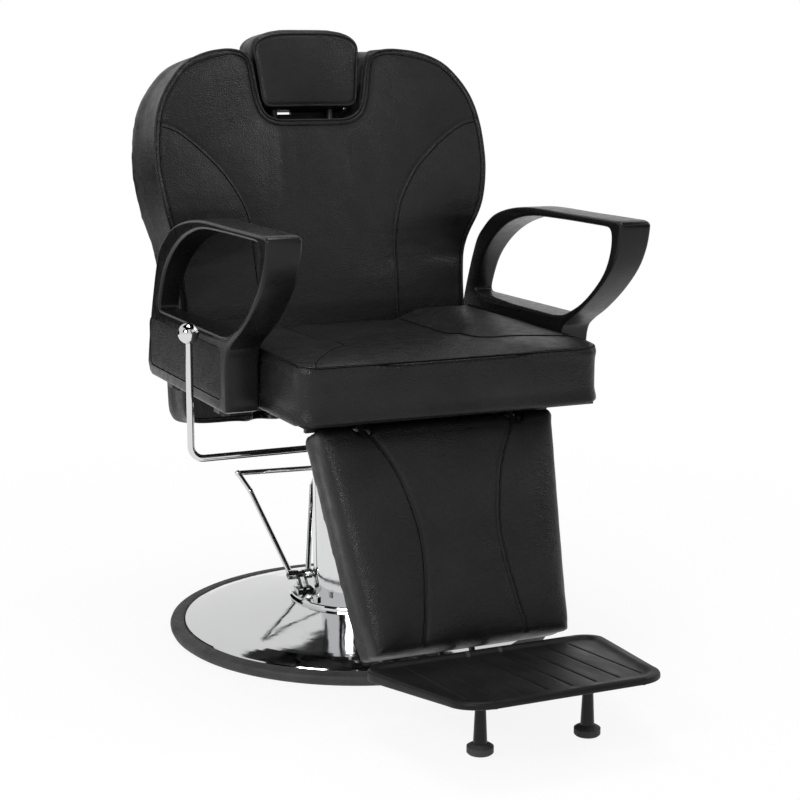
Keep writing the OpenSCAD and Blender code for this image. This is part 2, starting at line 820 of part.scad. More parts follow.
module lock_rod() {
    eye = [lock_pin[0], lock_z];
    half = 4;
    color(chrome) difference() {
        union() {
            lock_bar(-20, -8, lock_bore_r - run_fit);
            lock_bar(-20, eye[0] - 8, lock_rod_r);
            box([lock_x - half, eye[0] - 14, lock_z - lock_slot - 4],
                [lock_x + half, eye[0] + 11, lock_z + lock_slot + 4]);
        }
        box([lock_x - 9, eye[0] - lock_pin_r - lock_play, lock_z - lock_slot],
            [lock_x + 9, eye[0] + lock_pin_r + lock_play, lock_z + lock_slot]);
    }
}

// ---------- backrest ----------

module back_place() {
    translate(back_origin) rotate([-back_lean, 0, 0]) children();
}
// A (y, z) point of the chair in the backrest's own frame
function in_back(p) =
    let (y = p[0] - back_origin[1], z = p[1] - back_origin[2])
    [y * cos(back_lean) - z * sin(back_lean), y * sin(back_lean) + z * cos(back_lean)];

waist = waist_w / 2;
wing = back_w / 2;
// Half width against height, from the bottom corner over the wing to the top of a lobe
back_outline = open_curve([[waist - 26, 0], [waist - 9, 6], [waist - 1, 24], [waist, 70],
    [waist, back_len * 0.31], [waist + 6, back_len * 0.42], [wing - 25, back_len * 0.487],
    [wing - 10, back_len * 0.57], [wing - 1.5, back_len * 0.65], [wing, back_len * 0.7],
    [wing - 3, back_len * 0.77], [wing - 12.5, back_len * 0.84], [wing - 31, back_len * 0.897],
    [wing - 62, back_len * 0.953], [wing - 105, back_len * 0.985], [wing - 152, back_len]], 2);
thickness_curve = open_curve([[-20, back_t - 34], [0, back_t - 29], [back_len * 0.28, back_t],
    [back_len * 0.55, back_t * 0.8], [back_len * 0.82, back_top_t + 8], [back_len + 20, back_top_t]], 6);
slope_curve = open_curve([[-20, -0.12], [back_len * 0.36, -0.12], [back_len * 0.44, -0.075],
    [back_len * 0.5, wing_slope * 0.27], [back_len * 0.54, wing_slope * 0.7],
    [back_len * 0.6, wing_slope * 0.87], [back_len * 0.7, wing_slope], [back_len * 0.8, wing_slope * 1.14],
    [back_len * 0.87, wing_slope * 1.22], [back_len + 20, wing_slope * 1.5]], 5);
// Smooth ramp that starts where the flat centre ends
function wing_ramp(x) = let (t = (abs(x) - 62) / 20) t < -2 ? 0 : 10 * (t + sqrt(t * t + 1) - (sqrt(5) - 2));
function back_depth(x, h) = lookup(h, thickness_curve) + lookup(h, slope_curve) * max(0, wing_ramp(x));

// Rounded corner where a side of the notch meets the top of a lobe
function notch_lip(half, i) =
    [half + 17 * (1 - cos(18 * i)), back_len - 16 + 17 * sin(18 * i)];
module notch(low_w, top_w, low_h, r) {
    rotate([90, 0, 0]) translate([0, 0, -eps]) linear_extrude(200)
        polygon(concat(
            [for (i = [0:6]) [-low_w / 2 + r - r * cos(90 * i / 6), low_h + r - r * sin(90 * i / 6)]],
            [for (i = [0:6]) [low_w / 2 - r + r * sin(90 * i / 6), low_h + r - r * cos(90 * i / 6)]],
            [for (i = [0:5]) notch_lip(top_w / 2, i)], [[top_w / 2 + 17, back_len + 40]],
            [[-top_w / 2 - 17, back_len + 40]],
            [for (i = [5:-1:0]) let (p = notch_lip(top_w / 2, i)) [-p[0], p[1]]]));
}

// Spaces for the hinge, the link bracket and the lock crank
module hinge_pockets() {
    y = back_pivot[0];
    z = back_pivot[1];
    for (x = [-rail_x, rail_x]) {
        plate_x(x - pocket_w / 2, x + pocket_w / 2,
            [[y + 16, z + 15], [y, z + 17], [rail_rear_y - 20, seat_z + 20], [rail_rear_y - 20, z - 70],
                [y - 8, z - 70], [y + 16, z - 18]]);
        back_place() box([x - pocket_w / 2 + 0.7, hinge_depth[0], hinge_depth[1] - 14],
            [x + pocket_w / 2 - 0.7, eps, hinge_depth[1] + 14]);
    }
}
module link_pocket() {
    pin = back_pivot + link_arm;
    bar_x(link_x - 5, link_x + 11, pin, 17);
    box([link_x + 2, pin[0] - 13, pin[1]], [link_x + 10, pin[0] + 60, pin[1] + 72]);
}
module crank_pocket() {
    bar_x(lock_x - 13, lock_x + 6, lock_pin, 23);
    box([lock_x - 12, lock_pin[0] - 12, lock_pin[1]], [lock_x - 4, lock_pin[0] + 60, lock_pin[1] + 66]);
}

module back_board_space(behind = 0) {
    pts = [for (p = back_outline) if (p[1] > 14 && p[1] < back_len - 10) [p[0] - 12, p[1]]];
    low = [[pts[0][0] - 10, 12]];
    high = [[pts[len(pts) - 1][0] - 30, back_len - 12]];
    right = concat(low, pts, high);
    translate([0, behind, 0]) rotate([90, 0, 0]) linear_extrude(board_t + behind)
        polygon(concat(right, [for (i = [len(right) - 1:-1:0]) [-right[i][0], right[i][1]]]));
}

module back_cushion() {
    n = len(back_outline);
    m = 31;
    front = [for (i = [0:n - 1]) [for (j = [0:m - 1])
        let (w = back_outline[i][0], h = back_outline[i][1], x = w * spread(j, m),
            inside = min(w - abs(x), h + 1, back_len + 1 - h))
        [x, -back_depth(x, h) + edge_drop(inside, back_edge_r), h]]];
    color(upholstery) difference() {
        back_place() flat_backed_pad(front);
        back_place() back_board_space(eps);
        back_place() notch(notch_low_w, notch_top_w, notch_h, notch_r);
        hinge_pockets();
        link_pocket();
        crank_pocket();
        back_place() for (s = [-1, 1]) translate([s * stalk_gap / 2, -stalk_depth, notch_h - sleeve_len])
            cylinder(r = sleeve_out, h = 200);
    }
}

module back_board() {
    color(ply) difference() {
        back_place() back_board_space();
        back_place() notch(notch_low_w + 4, notch_top_w + 4, head_low_h - 1, notch_r / 3);
        back_place() box([-stalk_gap * 0.4, -30, head_low_h - 5], [-stalk_gap * 0.1, 5, head_low_h]);
    }
}

hinge_depth = in_back(back_pivot);
module back_hinge_plates() {
    y = back_pivot[0];
    z = back_pivot[1];
    inner = ear_t / 2 + plate_gap;
    outer = inner + hinge_plate_t;
    color(steel) for (x = [-rail_x, rail_x]) difference() {
        union() {
            for (s = [-1, 1]) {
                x0 = x + (s > 0 ? inner : -outer);
                back_place() plate_x(x0, x0 + hinge_plate_t,
                    [[hinge_depth[0], hinge_depth[1] - 9], [-board_t, hinge_depth[1] - 11],
                        [-board_t, hinge_depth[1] + 11], [hinge_depth[0], hinge_depth[1] + 9]]);
                bar_x(x0, x0 + hinge_plate_t, back_pivot, ear_r);
            }
            back_place() box([x - outer, -board_t - 5, hinge_depth[1] - 11],
                [x + outer, -board_t, hinge_depth[1] + 11]);
        }
        bar_x(x - 20, x + 20, back_pivot, pin_d / 2);
    }
}

module back_pins() {
    half = ear_t / 2 + plate_gap + hinge_plate_t + 1.5;
    color(steel) for (x = [-rail_x, rail_x]) bar_x(x - half, x + half, back_pivot, pin_d / 2);
}

// Bracket on the rear board whose pin carries the link rod
module back_link_bracket() {
    pin = back_pivot + link_arm;
    at = in_back(pin);
    x0 = link_x + link_t / 2 + plate_gap;
    color(steel) {
        back_place() plate_x(x0, x0 + 5,
            [[at[0] - 8, at[1] + 2], [at[0] + 9, at[1] - 4], [-board_t, 16],
                [-board_t, at[1] + 66], [at[0] - 2, at[1] + 66]]);
        bar_x(x0, x0 + 5, pin, 10);
        bar_x(link_x - link_t / 2 - 3, x0 + 2, pin, pin_d / 2);
    }
}

module lock_crank() {
    at = in_back(lock_pin);
    x0 = lock_x - 10.5;
    color(steel) {
        back_place() plate_x(x0, x0 + 5,
            [[at[0] - 7, at[1] + 4], [at[0] + 8, at[1] - 4], [-board_t, 16],
                [-board_t, at[1] + 60], [at[0] + 6, at[1] + 60]]);
        bar_x(x0, x0 + 5, lock_pin, 9);
        bar_x(x0, lock_x + 5.5, lock_pin, lock_pin_r);
    }
}

stalk_depth = 32;
sleeve_len = 124;
sleeve_out = stalk_d / 2 + 2.5;
stalk_len = 112;

module headrest_sleeves() {
    color(steel) back_place() for (s = [-1, 1])
        translate([s * stalk_gap / 2, -stalk_depth, notch_h - sleeve_len]) difference() {
            cylinder(r = sleeve_out, h = sleeve_len);
            translate([0, 0, -eps]) cylinder(r = stalk_d / 2 + run_fit, h = sleeve_len + 2 * eps);
        }
}

module headrest_stalks() {
    color(steel) back_place() for (s = [-1, 1])
        translate([s * stalk_gap / 2, -stalk_depth, head_low_h - stalk_len])
            cylinder(d = stalk_d, h = stalk_len + 30);
}

module headrest_cushion() {
    n = 21;
    m = 25;
    low_half = head_w / 2 - head_taper;
    h_at = function(i) head_h / 2 * (1 + spread(i, n));
    top_run = 70;
    top_drop = 30;
    w_at = function(i) low_half + head_taper * h_at(i) / head_h - edge_drop(h_at(i), 12)
        - edge_drop(head_h - h_at(i), top_drop) * top_run / top_drop;
    front = [for (i = [0:n - 1]) [for (j = [0:m - 1])
        let (x = w_at(i) * spread(j, m), h = h_at(i), u = x / w_at(i), v = 2 * h / head_h - 1,
            inside = min(w_at(i) - abs(x), h, (head_h - h) * 0.6))
        [x, -head_t + 9 * (1 - (1 - u * u) * (1 - v * v)) + edge_drop(inside, 12) + 4 * v, h]]];
    color(upholstery) difference() {
        back_place() translate([0, 0, head_low_h]) flat_backed_pad(front);
        back_place() for (s = [-1, 1])
            translate([s * stalk_gap / 2, -stalk_depth, head_low_h - eps])
                cylinder(d = stalk_d, h = 30 + eps);
    }
}

// Flat bar between the backrest's and the leg rest's brackets
module link_rod() {
    a = leg_pivot + link_arm;
    b = back_pivot + link_arm;
    x0 = link_x - link_t / 2;
    h = 8;
    color(steel) difference() {
        union() {
            plate_x(x0, x0 + link_t, [a - [0, h], b - [0, h], b + [0, h], a + [0, h]]);
            bar_x(x0, x0 + link_t, a, 11);
            bar_x(x0, x0 + link_t, b, 11);
        }
        bar_x(x0 - eps, x0 + link_t + eps, a, pin_d / 2 + run_fit);
        bar_x(x0 - eps, x0 + link_t + eps, b, pin_d / 2 + run_fit);
    }
}

// ---------- leg rest ----------

module leg_place() {
    translate([0, leg_pivot[0], leg_pivot[1]]) rotate([-leg_lean, 0, 0]) children();
}
function in_leg(v) =
    [v[0] * cos(leg_lean) - v[1] * sin(leg_lean), v[0] * sin(leg_lean) + v[1] * cos(leg_lean)];

function leg_half(h) = leg_low_w / 2 + (leg_top_w - leg_low_w) / 2 * h / leg_len;

module leg_board_space(behind = 0) {
    h0 = 14;
    h1 = leg_len - 40;
    translate([0, leg_rear + behind, leg_bottom]) rotate([90, 0, 0]) linear_extrude(board_t + behind)
        polygon([[-leg_half(h0) + 12, h0], [leg_half(h0) - 12, h0],
            [leg_half(h1) - 12, h1], [-leg_half(h1) + 12, h1]]);
}

module legrest_cushion() {
    n = 27;
    m = 25;
    h_at = function(i) leg_len / 2 * (1 + spread(i, n));
    w_at = function(i) leg_half(h_at(i)) - edge_drop(h_at(i), 15) - edge_drop(leg_len - h_at(i), 6);
    front = [for (i = [0:n - 1]) [for (j = [0:m - 1])
        let (x = w_at(i) * spread(j, m), h = h_at(i), u = x / w_at(i),
            crown = 6 * (1 - u * u * u * u) * (1 - pow(2 * h / leg_len - 1, 4)),
            inside = min(w_at(i) - abs(x), h, leg_len - h))
        [x, -leg_t + 6 - crown + edge_drop(inside, 13), h]]];
    color(upholstery) difference() {
        leg_place() translate([0, leg_rear, leg_bottom]) flat_backed_pad(front);
        leg_place() leg_board_space(eps);
        leg_pockets();
    }
}

module leg_pockets() {
    leg_place() for (x = [-rail_x, rail_x])
        plate_x(x - pocket_w / 2, x + pocket_w / 2,
            [[-19, leg_over + 5], [-14, -8], [-8, -13], [leg_rear + 5, -13], [leg_rear + 5, leg_over + 5]]);
}

module legrest_board() {
    color(ply) leg_place() leg_board_space();
}

module legrest_hinge_plates() {
    inner = ear_t / 2 + plate_gap;
    outer = inner + hinge_plate_t;
    low = -70;
    color(steel) for (x = [-rail_x, rail_x]) difference() {
        union() {
            leg_place() {
                for (s = [-1, 1]) {
                    x0 = x + (s > 0 ? inner : -outer);
                    plate_x(x0, x0 + hinge_plate_t,
                        [[-2, -8.5], [leg_rear, -11], [leg_rear, low], [leg_rear + 4, low],
                            [leg_rear + 4, -1], [20, 5], [0, 8.5]]);
                    bar_x(x0, x0 + hinge_plate_t, [0, 0], 8.5);
                }
                box([x - outer, leg_rear, low], [x + outer, leg_rear + 4, -20]);
            }
        }
        bar_x(x - 20, x + 20, leg_pivot, pin_d / 2);
    }
}

module legrest_pins() {
    half = ear_t / 2 + plate_gap + hinge_plate_t + 1.5;
    color(steel) for (x = [-rail_x, rail_x]) bar_x(x - half, x + half, leg_pivot, pin_d / 2);
}

module legrest_link_bracket() {
    at = in_leg(link_arm);
    pin = leg_pivot + link_arm;
    x0 = link_x + link_t / 2 + plate_gap;
    color(steel) {
        leg_place() {
            plate_x(x0, x0 + 5,
                [[leg_rear, at[1] - 26], [at[0], at[1] - 9], [at[0], at[1] + 9], [leg_rear, at[1] + 20]]);
            box([x0, leg_rear, at[1] - 40], [x0 + 12, leg_rear + 3, at[1] + 20]);
        }
        bar_x(x0, x0 + 5, pin, 9);
        bar_x(link_x - link_t / 2 - 3, x0 + 2, pin, pin_d / 2);
    }
}

module footplate_bracket() {
    y = foot_pivot[0];
    z = foot_pivot[1];
    color(steel) leg_place() difference() {
        union() {
            for (s = [-1, 1]) {
                x0 = s > 0 ? foot_lug_x : -foot_lug_x - foot_plate_t;
                plate_x(x0, x0 + foot_plate_t,
                    [[y, z - foot_hinge_r], [leg_rear + 8, z - foot_hinge_r],
                        [leg_rear + 10, leg_bottom + 70], [leg_rear, leg_bottom + 70],
                        [leg_rear, leg_bottom - 5], [y, leg_bottom - 6.5]]);
                bar_x(x0, x0 + foot_plate_t, foot_pivot, foot_hinge_r);
            }
            box([-foot_lug_x - foot_plate_t, leg_rear, leg_bottom + 24],
                [foot_lug_x + foot_plate_t, leg_rear + 4, leg_bottom + 66]);
        }
        bar_x(-40, 40, foot_pivot, foot_pin_r);
    }
}

module footplate_pin() {
    color(steel) leg_place() bar_x(-foot_lug_x - 12, foot_lug_x + 12, foot_pivot, foot_pin_r);
}

// ---------- footplate ----------

foot_world = leg_pivot + [foot_pivot[0] * cos(leg_lean) + foot_pivot[1] * sin(leg_lean),
    -foot_pivot[0] * sin(leg_lean) + foot_pivot[1] * cos(leg_lean)];

module plate_place() {
    translate([0, foot_world[0], foot_world[1]]) rotate([-plate_tilt, 0, 0]) children();
}

// Outline of the footplate, drawn in by an inset, as (x, y)
function plate_outline(inset) =
    let (w = plate_w / 2 - inset, f = plate_front_w / 2 - inset, rear = plate_over - inset,
        front = plate_over - plate_len + inset, rr = 33 - inset * 0.6, rf = 48 - inset * 0.6)
    concat(
        [for (i = [0:6]) [w - rr + rr * sin(90 * i / 6), rear - rr + rr * cos(90 * i / 6)]],
        [for (i = [0:8]) [f - rf + rf * cos(90 * i / 8), front + rf - rf * sin(90 * i / 8)]],
        [for (i = [8:-1:0]) [-f + rf - rf * cos(90 * i / 8), front + rf - rf * sin(90 * i / 8)]],
        [for (i = [6:-1:0]) [-w + rr - rr * sin(90 * i / 6), rear - rr + rr * cos(90 * i / 6)]]);

module footplate() {
    top = plate_top_z;
    front = plate_over - plate_len;
    groove_gap = 36;
    tread_rear = plate_over - rim_w - 6;
    color(plastic) plate_place() difference() {
        translate([0, 0, top - plate_t]) linear_extrude(plate_t) polygon(plate_outline(0));
        translate([0, 0, top - tread_drop]) linear_extrude(tread_drop + eps) polygon(plate_outline(rim_w));
        plate_x(-plate_w, plate_w, [[plate_over + 1, top - plate_t], [front - 1, top - plate_front_t],
            [front - 1, top - plate_t - 5], [plate_over + 1, top - plate_t - 5]]);
        for (k = [-3.5:1:3.5])
            box([k * groove_gap - 1.2, front + rim_w + 14, top - tread_drop - 2],
                [k * groove_gap + 1.2, tread_rear - 4, top]);
        for (s = [-1, 1]) {
            x0 = s > 0 ? foot_lug_x - 0.5 : -foot_lug_x - foot_plate_t - 0.5;
            box([x0, -foot_hinge_r - 2, top - plate_t - eps],
                [x0 + foot_plate_t + 1, plate_over + eps, top + eps]);
        }
        bar_x(-foot_lug_x - 13, foot_lug_x + 13, [0, 0], foot_pin_r + run_fit);
    }
}

// Underside of the footplate at the feet, above the floor
foot_top = foot_world[1] + (foot_ahead * sin(plate_tilt)) + plate_top_z - 17;
pad_h = 14;

module foot_stems() {
    color(plastic) for (s = [-1, 1])
        translate([s * foot_x, foot_world[0] - foot_ahead, foot_gap + pad_h]) difference() {
            cylinder(r1 = 9.5, r2 = 6.2, h = foot_top - foot_gap - pad_h + 6);
            translate([0, foot_ahead - foot_world[0], -foot_gap - pad_h]) translate([-s * foot_x, 0, 0])
                foot_cut();
        }
}
// Everything above the footplate's underside
module foot_cut() {
    plate_place() plate_x(-plate_w, plate_w,
        [[plate_over + 1, plate_top_z - plate_t], [plate_over - plate_len - 1, plate_top_z - plate_front_t],
            [plate_over - plate_len - 1, 60], [plate_over + 1, 60]]);
}

module foot_pads() {
    color(rubber) for (s = [-1, 1])
        translate([s * foot_x, foot_world[0] - foot_ahead, foot_gap]) rotate_extrude()
            polygon([[0, 0], [pad_d / 2 - 2, 0], [pad_d / 2, 2], [pad_d / 2, pad_h - 4],
                [pad_d / 2 - 3, pad_h - 2], [11, pad_h], [0, pad_h]]);
}

// ---------- assembly ----------

base_ring();
base_pan();
base_plate();
pump_collar();
collar_bolts();
pump_cover();
cover_lid();
pump_cylinder();
ram_gland();
plunger_block();
pedal_bracket();
shaft_bushing();
pump_pedal();
pedal_shaft();
pump_plunger();
lift_ram();
ram_piston();
mount_plate();
mount_bolts();
seat_rails();
front_bar();
cross_tubes();
front_hinge_ears();
rear_hinge_ears();
arm_brackets();
arm_bolts();
seat_board();
seat_cushion();
armrest_right();
armrest_left();
arm_panel_right();
arm_panel_left();
lever_bearings();
lock_hangers();
lock_cylinder();
release_pin();
lock_rod();
lever_rod();
lever_ball();
lever_finger();
back_cushion();
back_board();
back_hinge_plates();
back_pins();
back_link_bracket();
lock_crank();
headrest_sleeves();
link_rod();
headrest_cushion();
headrest_stalks();
legrest_cushion();
legrest_board();
legrest_hinge_plates();
legrest_pins();
legrest_link_bracket();
footplate_bracket();
footplate_pin();
footplate();
foot_stems();
foot_pads();
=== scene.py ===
# %% [markdown]
# # A hydraulic barber chair, dressed in Blender
# The solid model already says where each part of the chair is and how it moves.
# This notebook loads it as a fixed frame and gives the chair its real surfaces: stuffed
# leatherette cushions with seams and piping, moulded armrests, a ribbed footplate, polished
# chrome, black paint and rubber. Nothing here changes a size: each new piece stands in the
# space of the solid that it replaces, and rides on the same body.

# %% Load the solid model
import math
import bmesh
import bpy
import numpy as np
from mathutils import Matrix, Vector
from mathutils.bvhtree import BVHTree
from mathutils.geometry import tessellate_polygon


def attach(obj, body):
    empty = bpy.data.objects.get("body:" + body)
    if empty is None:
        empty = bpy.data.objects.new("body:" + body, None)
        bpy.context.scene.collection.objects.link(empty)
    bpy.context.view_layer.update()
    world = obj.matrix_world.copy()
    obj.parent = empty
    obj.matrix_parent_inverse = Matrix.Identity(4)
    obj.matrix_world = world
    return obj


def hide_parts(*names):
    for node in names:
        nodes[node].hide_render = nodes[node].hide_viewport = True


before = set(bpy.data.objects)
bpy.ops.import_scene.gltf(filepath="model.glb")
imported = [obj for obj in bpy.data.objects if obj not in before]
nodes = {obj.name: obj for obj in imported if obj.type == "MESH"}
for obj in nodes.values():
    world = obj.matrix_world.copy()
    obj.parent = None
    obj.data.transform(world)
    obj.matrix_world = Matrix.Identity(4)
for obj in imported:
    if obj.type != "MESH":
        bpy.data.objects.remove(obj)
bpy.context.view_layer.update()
scene = bpy.context.scene

# %% [markdown]
# ## Camera
# A chair is best shown from a little above seat height and from the front corner, with a
# long lens, so that the back and the footplate keep their true proportions.

# %% Camera
camera_data = bpy.data.cameras.new("studio_camera")
camera_data.sensor_width = 36
camera_data.lens = 81.6
camera = bpy.data.objects.new("studio_camera", camera_data)
camera.location = (-1.0991, -2.5920, 0.9037)
camera.rotation_euler = (math.radians(79.21), 0, math.radians(-24.26))
scene.collection.objects.link(camera)
scene.camera = camera
scene.view_settings.view_transform = "Standard"
print("camera at", tuple(camera.location))

# %% [markdown]
# ## Room light
# A catalogue studio is white all round and lit through large soft boxes. The world is a
# full white where it is seen, directly or in metal, and dimmer where it only lights
# surfaces, so that a colour comes out about as it was chosen.

# %% Shader nodes
def wire(tree, start, end):
    """Joins an output socket to an input socket."""
    tree.links.new(start, end)


def add(tree, kind, operation=None, **values):
    """A new shader node with its operation and its constant inputs. An underscore in an
    input's name stands for a space."""
    made = tree.nodes.new("ShaderNode" + kind)
    if operation:
        made.operation = operation
    for name, value in values.items():
        made.inputs[name.replace("_", " ")].default_value = value
    return made


def empty_tree(owner):
    """The node tree of a world or a material, cleared."""
    owner.use_nodes = True
    owner.node_tree.nodes.clear()
    return owner.node_tree


def blend(tree, factor, first, second, output):
    """Mixes two shaders by a factor, into a new output node."""
    mix = add(tree, "MixShader")
    for socket, start in zip(mix.inputs, (factor, first.outputs[0], second.outputs[0])):
        wire(tree, start, socket)
    wire(tree, mix.outputs[0], add(tree, output).inputs["Surface"])


def seen_directly(tree):
    """1 for rays from the camera and for rays seen in gloss or glass, otherwise 0: the
    largest of the three Light Path flags."""
    path = add(tree, "LightPath")
    largest = path.outputs["Is Camera Ray"]
    for flag in ("Is Glossy Ray", "Is Transmission Ray"):
        larger = add(tree, "Math", "MAXIMUM")
        wire(tree, largest, larger.inputs[0])
        wire(tree, path.outputs[flag], larger.inputs[1])
        largest = larger.outputs[0]
    return largest


# %% World
WHITE = (1, 1, 1, 1)
LIGHTING, SEEN, MIRRORED = 0.5, 1.0, 0.84
scene.world = bpy.data.worlds.new("white_studio")
sky = empty_tree(scene.world)
room = add(sky, "Background", Color=WHITE, Strength=LIGHTING)
shown = add(sky, "Background", Color=WHITE)
dim = add(sky, "MapRange", To_Min=SEEN, To_Max=MIRRORED)
wire(sky, add(sky, "LightPath").outputs["Is Glossy Ray"], dim.inputs["Value"])
wire(sky, dim.outputs[0], shown.inputs["Strength"])
blend(sky, seen_directly(sky), room, shown, "OutputWorld")
print("world:", scene.world.name)


# %% Soft boxes
def soft_box(name, place, target, size, watts):
    """A square area lamp at a place, turned to a target point."""
    data = bpy.data.lights.new(name, "AREA")
    data.size = size
    data.energy = watts
    lamp = bpy.data.objects.new(name, data)
    lamp.location = place
    lamp.rotation_euler = (Vector(target) - Vector(place)).to_track_quat("-Z", "Y").to_euler()
    scene.collection.objects.link(lamp)


soft_box("soft_box_above", (-0.1, 0.0, 2.6), (0, -0.1, 0.4), 1.1, 24)
soft_box("soft_box_right", (2.0, -0.4, 1.9), (0, 0, 0.5), 0.7, 10)
soft_box("soft_box_left", (-2.1, -1.5, 1.7), (0, 0, 0.6), 0.8, 32)

# %% [markdown]
# Polished metal needs something dark to reflect, or it looks like white paint, and black
# covers need it to stay black. Black flags stand round the set and above it. Only
# reflections see them: they give no shade, and the camera never shows them.

# %% Black flags
def sheet(name, centre, across, up):
    """A flat sheet, centre plus and minus two half-edge vectors, and the empty node tree of
    its material."""
    c, u, v = (np.array(a, float) for a in (centre, across, up))
    mesh = bpy.data.meshes.new(name)
    mesh.from_pydata([c - u - v, c + u - v, c + u + v, c - u + v], [], [(0, 1, 2, 3)])
    mesh.materials.append(bpy.data.materials.new(name))
    made = bpy.data.objects.new(name, mesh)
    scene.collection.objects.link(made)
    return made, empty_tree(mesh.materials[0])


def black_flag(name, centre, across, up):
    """A black sheet that is seen in gloss alone."""
    flag, tree = sheet(name, centre, across, up)
    black = add(tree, "Emission", Color=(0, 0, 0, 1))
    wire(tree, black.outputs[0], add(tree, "OutputMaterial").inputs["Surface"])
    flag.visible_camera = flag.visible_diffuse = flag.visible_shadow = False
    flag.visible_transmission = flag.visible_volume_scatter = False


black_flag("flag_front_right", (2.3, -2.5, 0.75), (1.05, 0.98, 0), (0, 0, 0.85))
black_flag("flag_high_left", (-3.2, -2.2, 2.9), (1.3, -1.9, 0), (0, 0, 1.3))
black_flag("flag_behind_left", (-1.3, 2.3, 0.35), (1.2, 0.5, 0), (0, 0, 0.45))
black_flag("flag_above", (0, 0, 4.2), (3.2, 0, 0), (0, 3.2, 0))

# %% [markdown]
# ## Floor
# A pale sheet under the chair keeps its soft shadow. For the camera and in reflections it
# is blended towards plain white, so it runs into the background without an edge.

# %% Floor
FLOOR_HALF = 9.0
SHADOW_REACH, PLAIN_FROM, NEAR_SHARE = 0.3, 1.5, 0.88
floor, paper = sheet("floor_sheet", (0, 0, 0), (FLOOR_HALF, 0, 0), (0, FLOOR_HALF, 0))
matt = add(paper, "BsdfDiffuse", Color=(0.93, 0.93, 0.93, 1))
bright = add(paper, "Emission", Strength=1.0)
reach = add(paper, "VectorMath", "LENGTH")
fade = add(paper, "MapRange", From_Min=SHADOW_REACH, From_Max=PLAIN_FROM,
           To_Min=NEAR_SHARE, To_Max=1.0)
share = add(paper, "Math", "MULTIPLY")
wire(paper, add(paper, "TexCoord").outputs["Object"], reach.inputs[0])
wire(paper, reach.outputs["Value"], fade.inputs["Value"])
wire(paper, seen_directly(paper), share.inputs[0])
wire(paper, fade.outputs[0], share.inputs[1])
blend(paper, share.outputs[0], matt, bright, "OutputMaterial")

# %% [markdown]
# ## Finishes
# Each finish is one Principled shader with patterns worked out from Object coordinates, so
# they need no image and keep their real size on every piece. Small helpers make the
# patterns, a noise and pebbles, and let them drive colour, roughness and bump.

# %% Pattern helpers
def noise(tree, scale, detail, stretch=(1, 1, 1), distortion=0.0):
    """Noise on Object coordinates. Its scale is cells per metre, stretched per axis."""
    mapping = add(tree, "Mapping", Scale=stretch)
    pattern = add(tree, "TexNoise", Scale=scale, Detail=detail, Distortion=distortion)
    wire(tree, add(tree, "TexCoord").outputs["Object"], mapping.inputs["Vector"])
    wire(tree, mapping.outputs[0], pattern.inputs["Vector"])
    return pattern.outputs["Fac"]


def pebbles(tree, scale):
    """Rounded cells on Object coordinates: the smooth distance to the nearest cell centre."""
    pattern = add(tree, "TexVoronoi", Scale=scale)
    pattern.feature = "SMOOTH_F1"
    pattern.inputs["Smoothness"].default_value = 0.6
    wire(tree, add(tree, "TexCoord").outputs["Object"], pattern.inputs["Vector"])
    return pattern.outputs["Distance"]


def pattern_of(tree, spec):
    """Noise for (scale, detail, stretch, distortion), pebbles for a scale alone."""
    return noise(tree, *spec) if isinstance(spec, tuple) else pebbles(tree, spec)


# %% Finish helpers
PATTERN_LOW, PATTERN_HIGH = 0.3, 0.7


def sheen(tree, shader, spec, low, high):
    """Roughness that runs from low to high with a pattern."""
    ranged = add(tree, "MapRange", From_Min=PATTERN_LOW, From_Max=PATTERN_HIGH,
                 To_Min=low, To_Max=high)
    wire(tree, pattern_of(tree, spec), ranged.inputs["Value"])
    wire(tree, ranged.outputs[0], shader.inputs["Roughness"])


def tint(tree, shader, spec, dark, light):
    """Base colour that runs from dark to light with a pattern."""
    ramp = add(tree, "ValToRGB")
    low, high = ramp.color_ramp.elements
    low.position, low.color = PATTERN_LOW, (*dark, 1)
    high.position, high.color = PATTERN_HIGH, (*light, 1)
    wire(tree, pattern_of(tree, spec), ramp.inputs[0])
    wire(tree, ramp.outputs[0], shader.inputs["Base Color"])


def relief(tree, shader, layers):
    """Bump made of layers of (pattern, depth in metres, strength), each laid on the last."""
    last = None
    for spec, depth, strength in layers:
        bump = add(tree, "Bump", Distance=depth, Strength=strength)
        wire(tree, pattern_of(tree, spec), bump.inputs["Height"])
        if last:
            wire(tree, last, bump.inputs["Normal"])
        last = bump.outputs[0]
    wire(tree, last, shader.inputs["Normal"])


def finish(name, colour, roughness, specular=0.5, metallic=0.0, hue=None, gloss=None, bumps=()):
    """A Principled material with its constant values set on the shader itself, then its
    colour (pattern, dark, light), roughness (pattern, low, high) and layers of bump."""
    made = bpy.data.materials.new(name)
    made.use_nodes = True
    tree = made.node_tree
    shader = tree.nodes["Principled BSDF"]
    shader.inputs["Base Color"].default_value = (*colour, 1)
    shader.inputs["Roughness"].default_value = roughness
    shader.inputs["Metallic"].default_value = metallic
    shader.inputs["Specular IOR Level"].default_value = specular
    if hue:
        tint(tree, shader, *hue)
    if gloss:
        sheen(tree, shader, *gloss)
    relief(tree, shader, bumps)
    return made


# %% [markdown]
# ### Leatherette, welting and thread
# The covers are black vinyl-coated cloth: a fine pebbled grain, soft creases a few
# centimetres long and a broad satin sheen. The piping is the same cloth, folded over a cord.

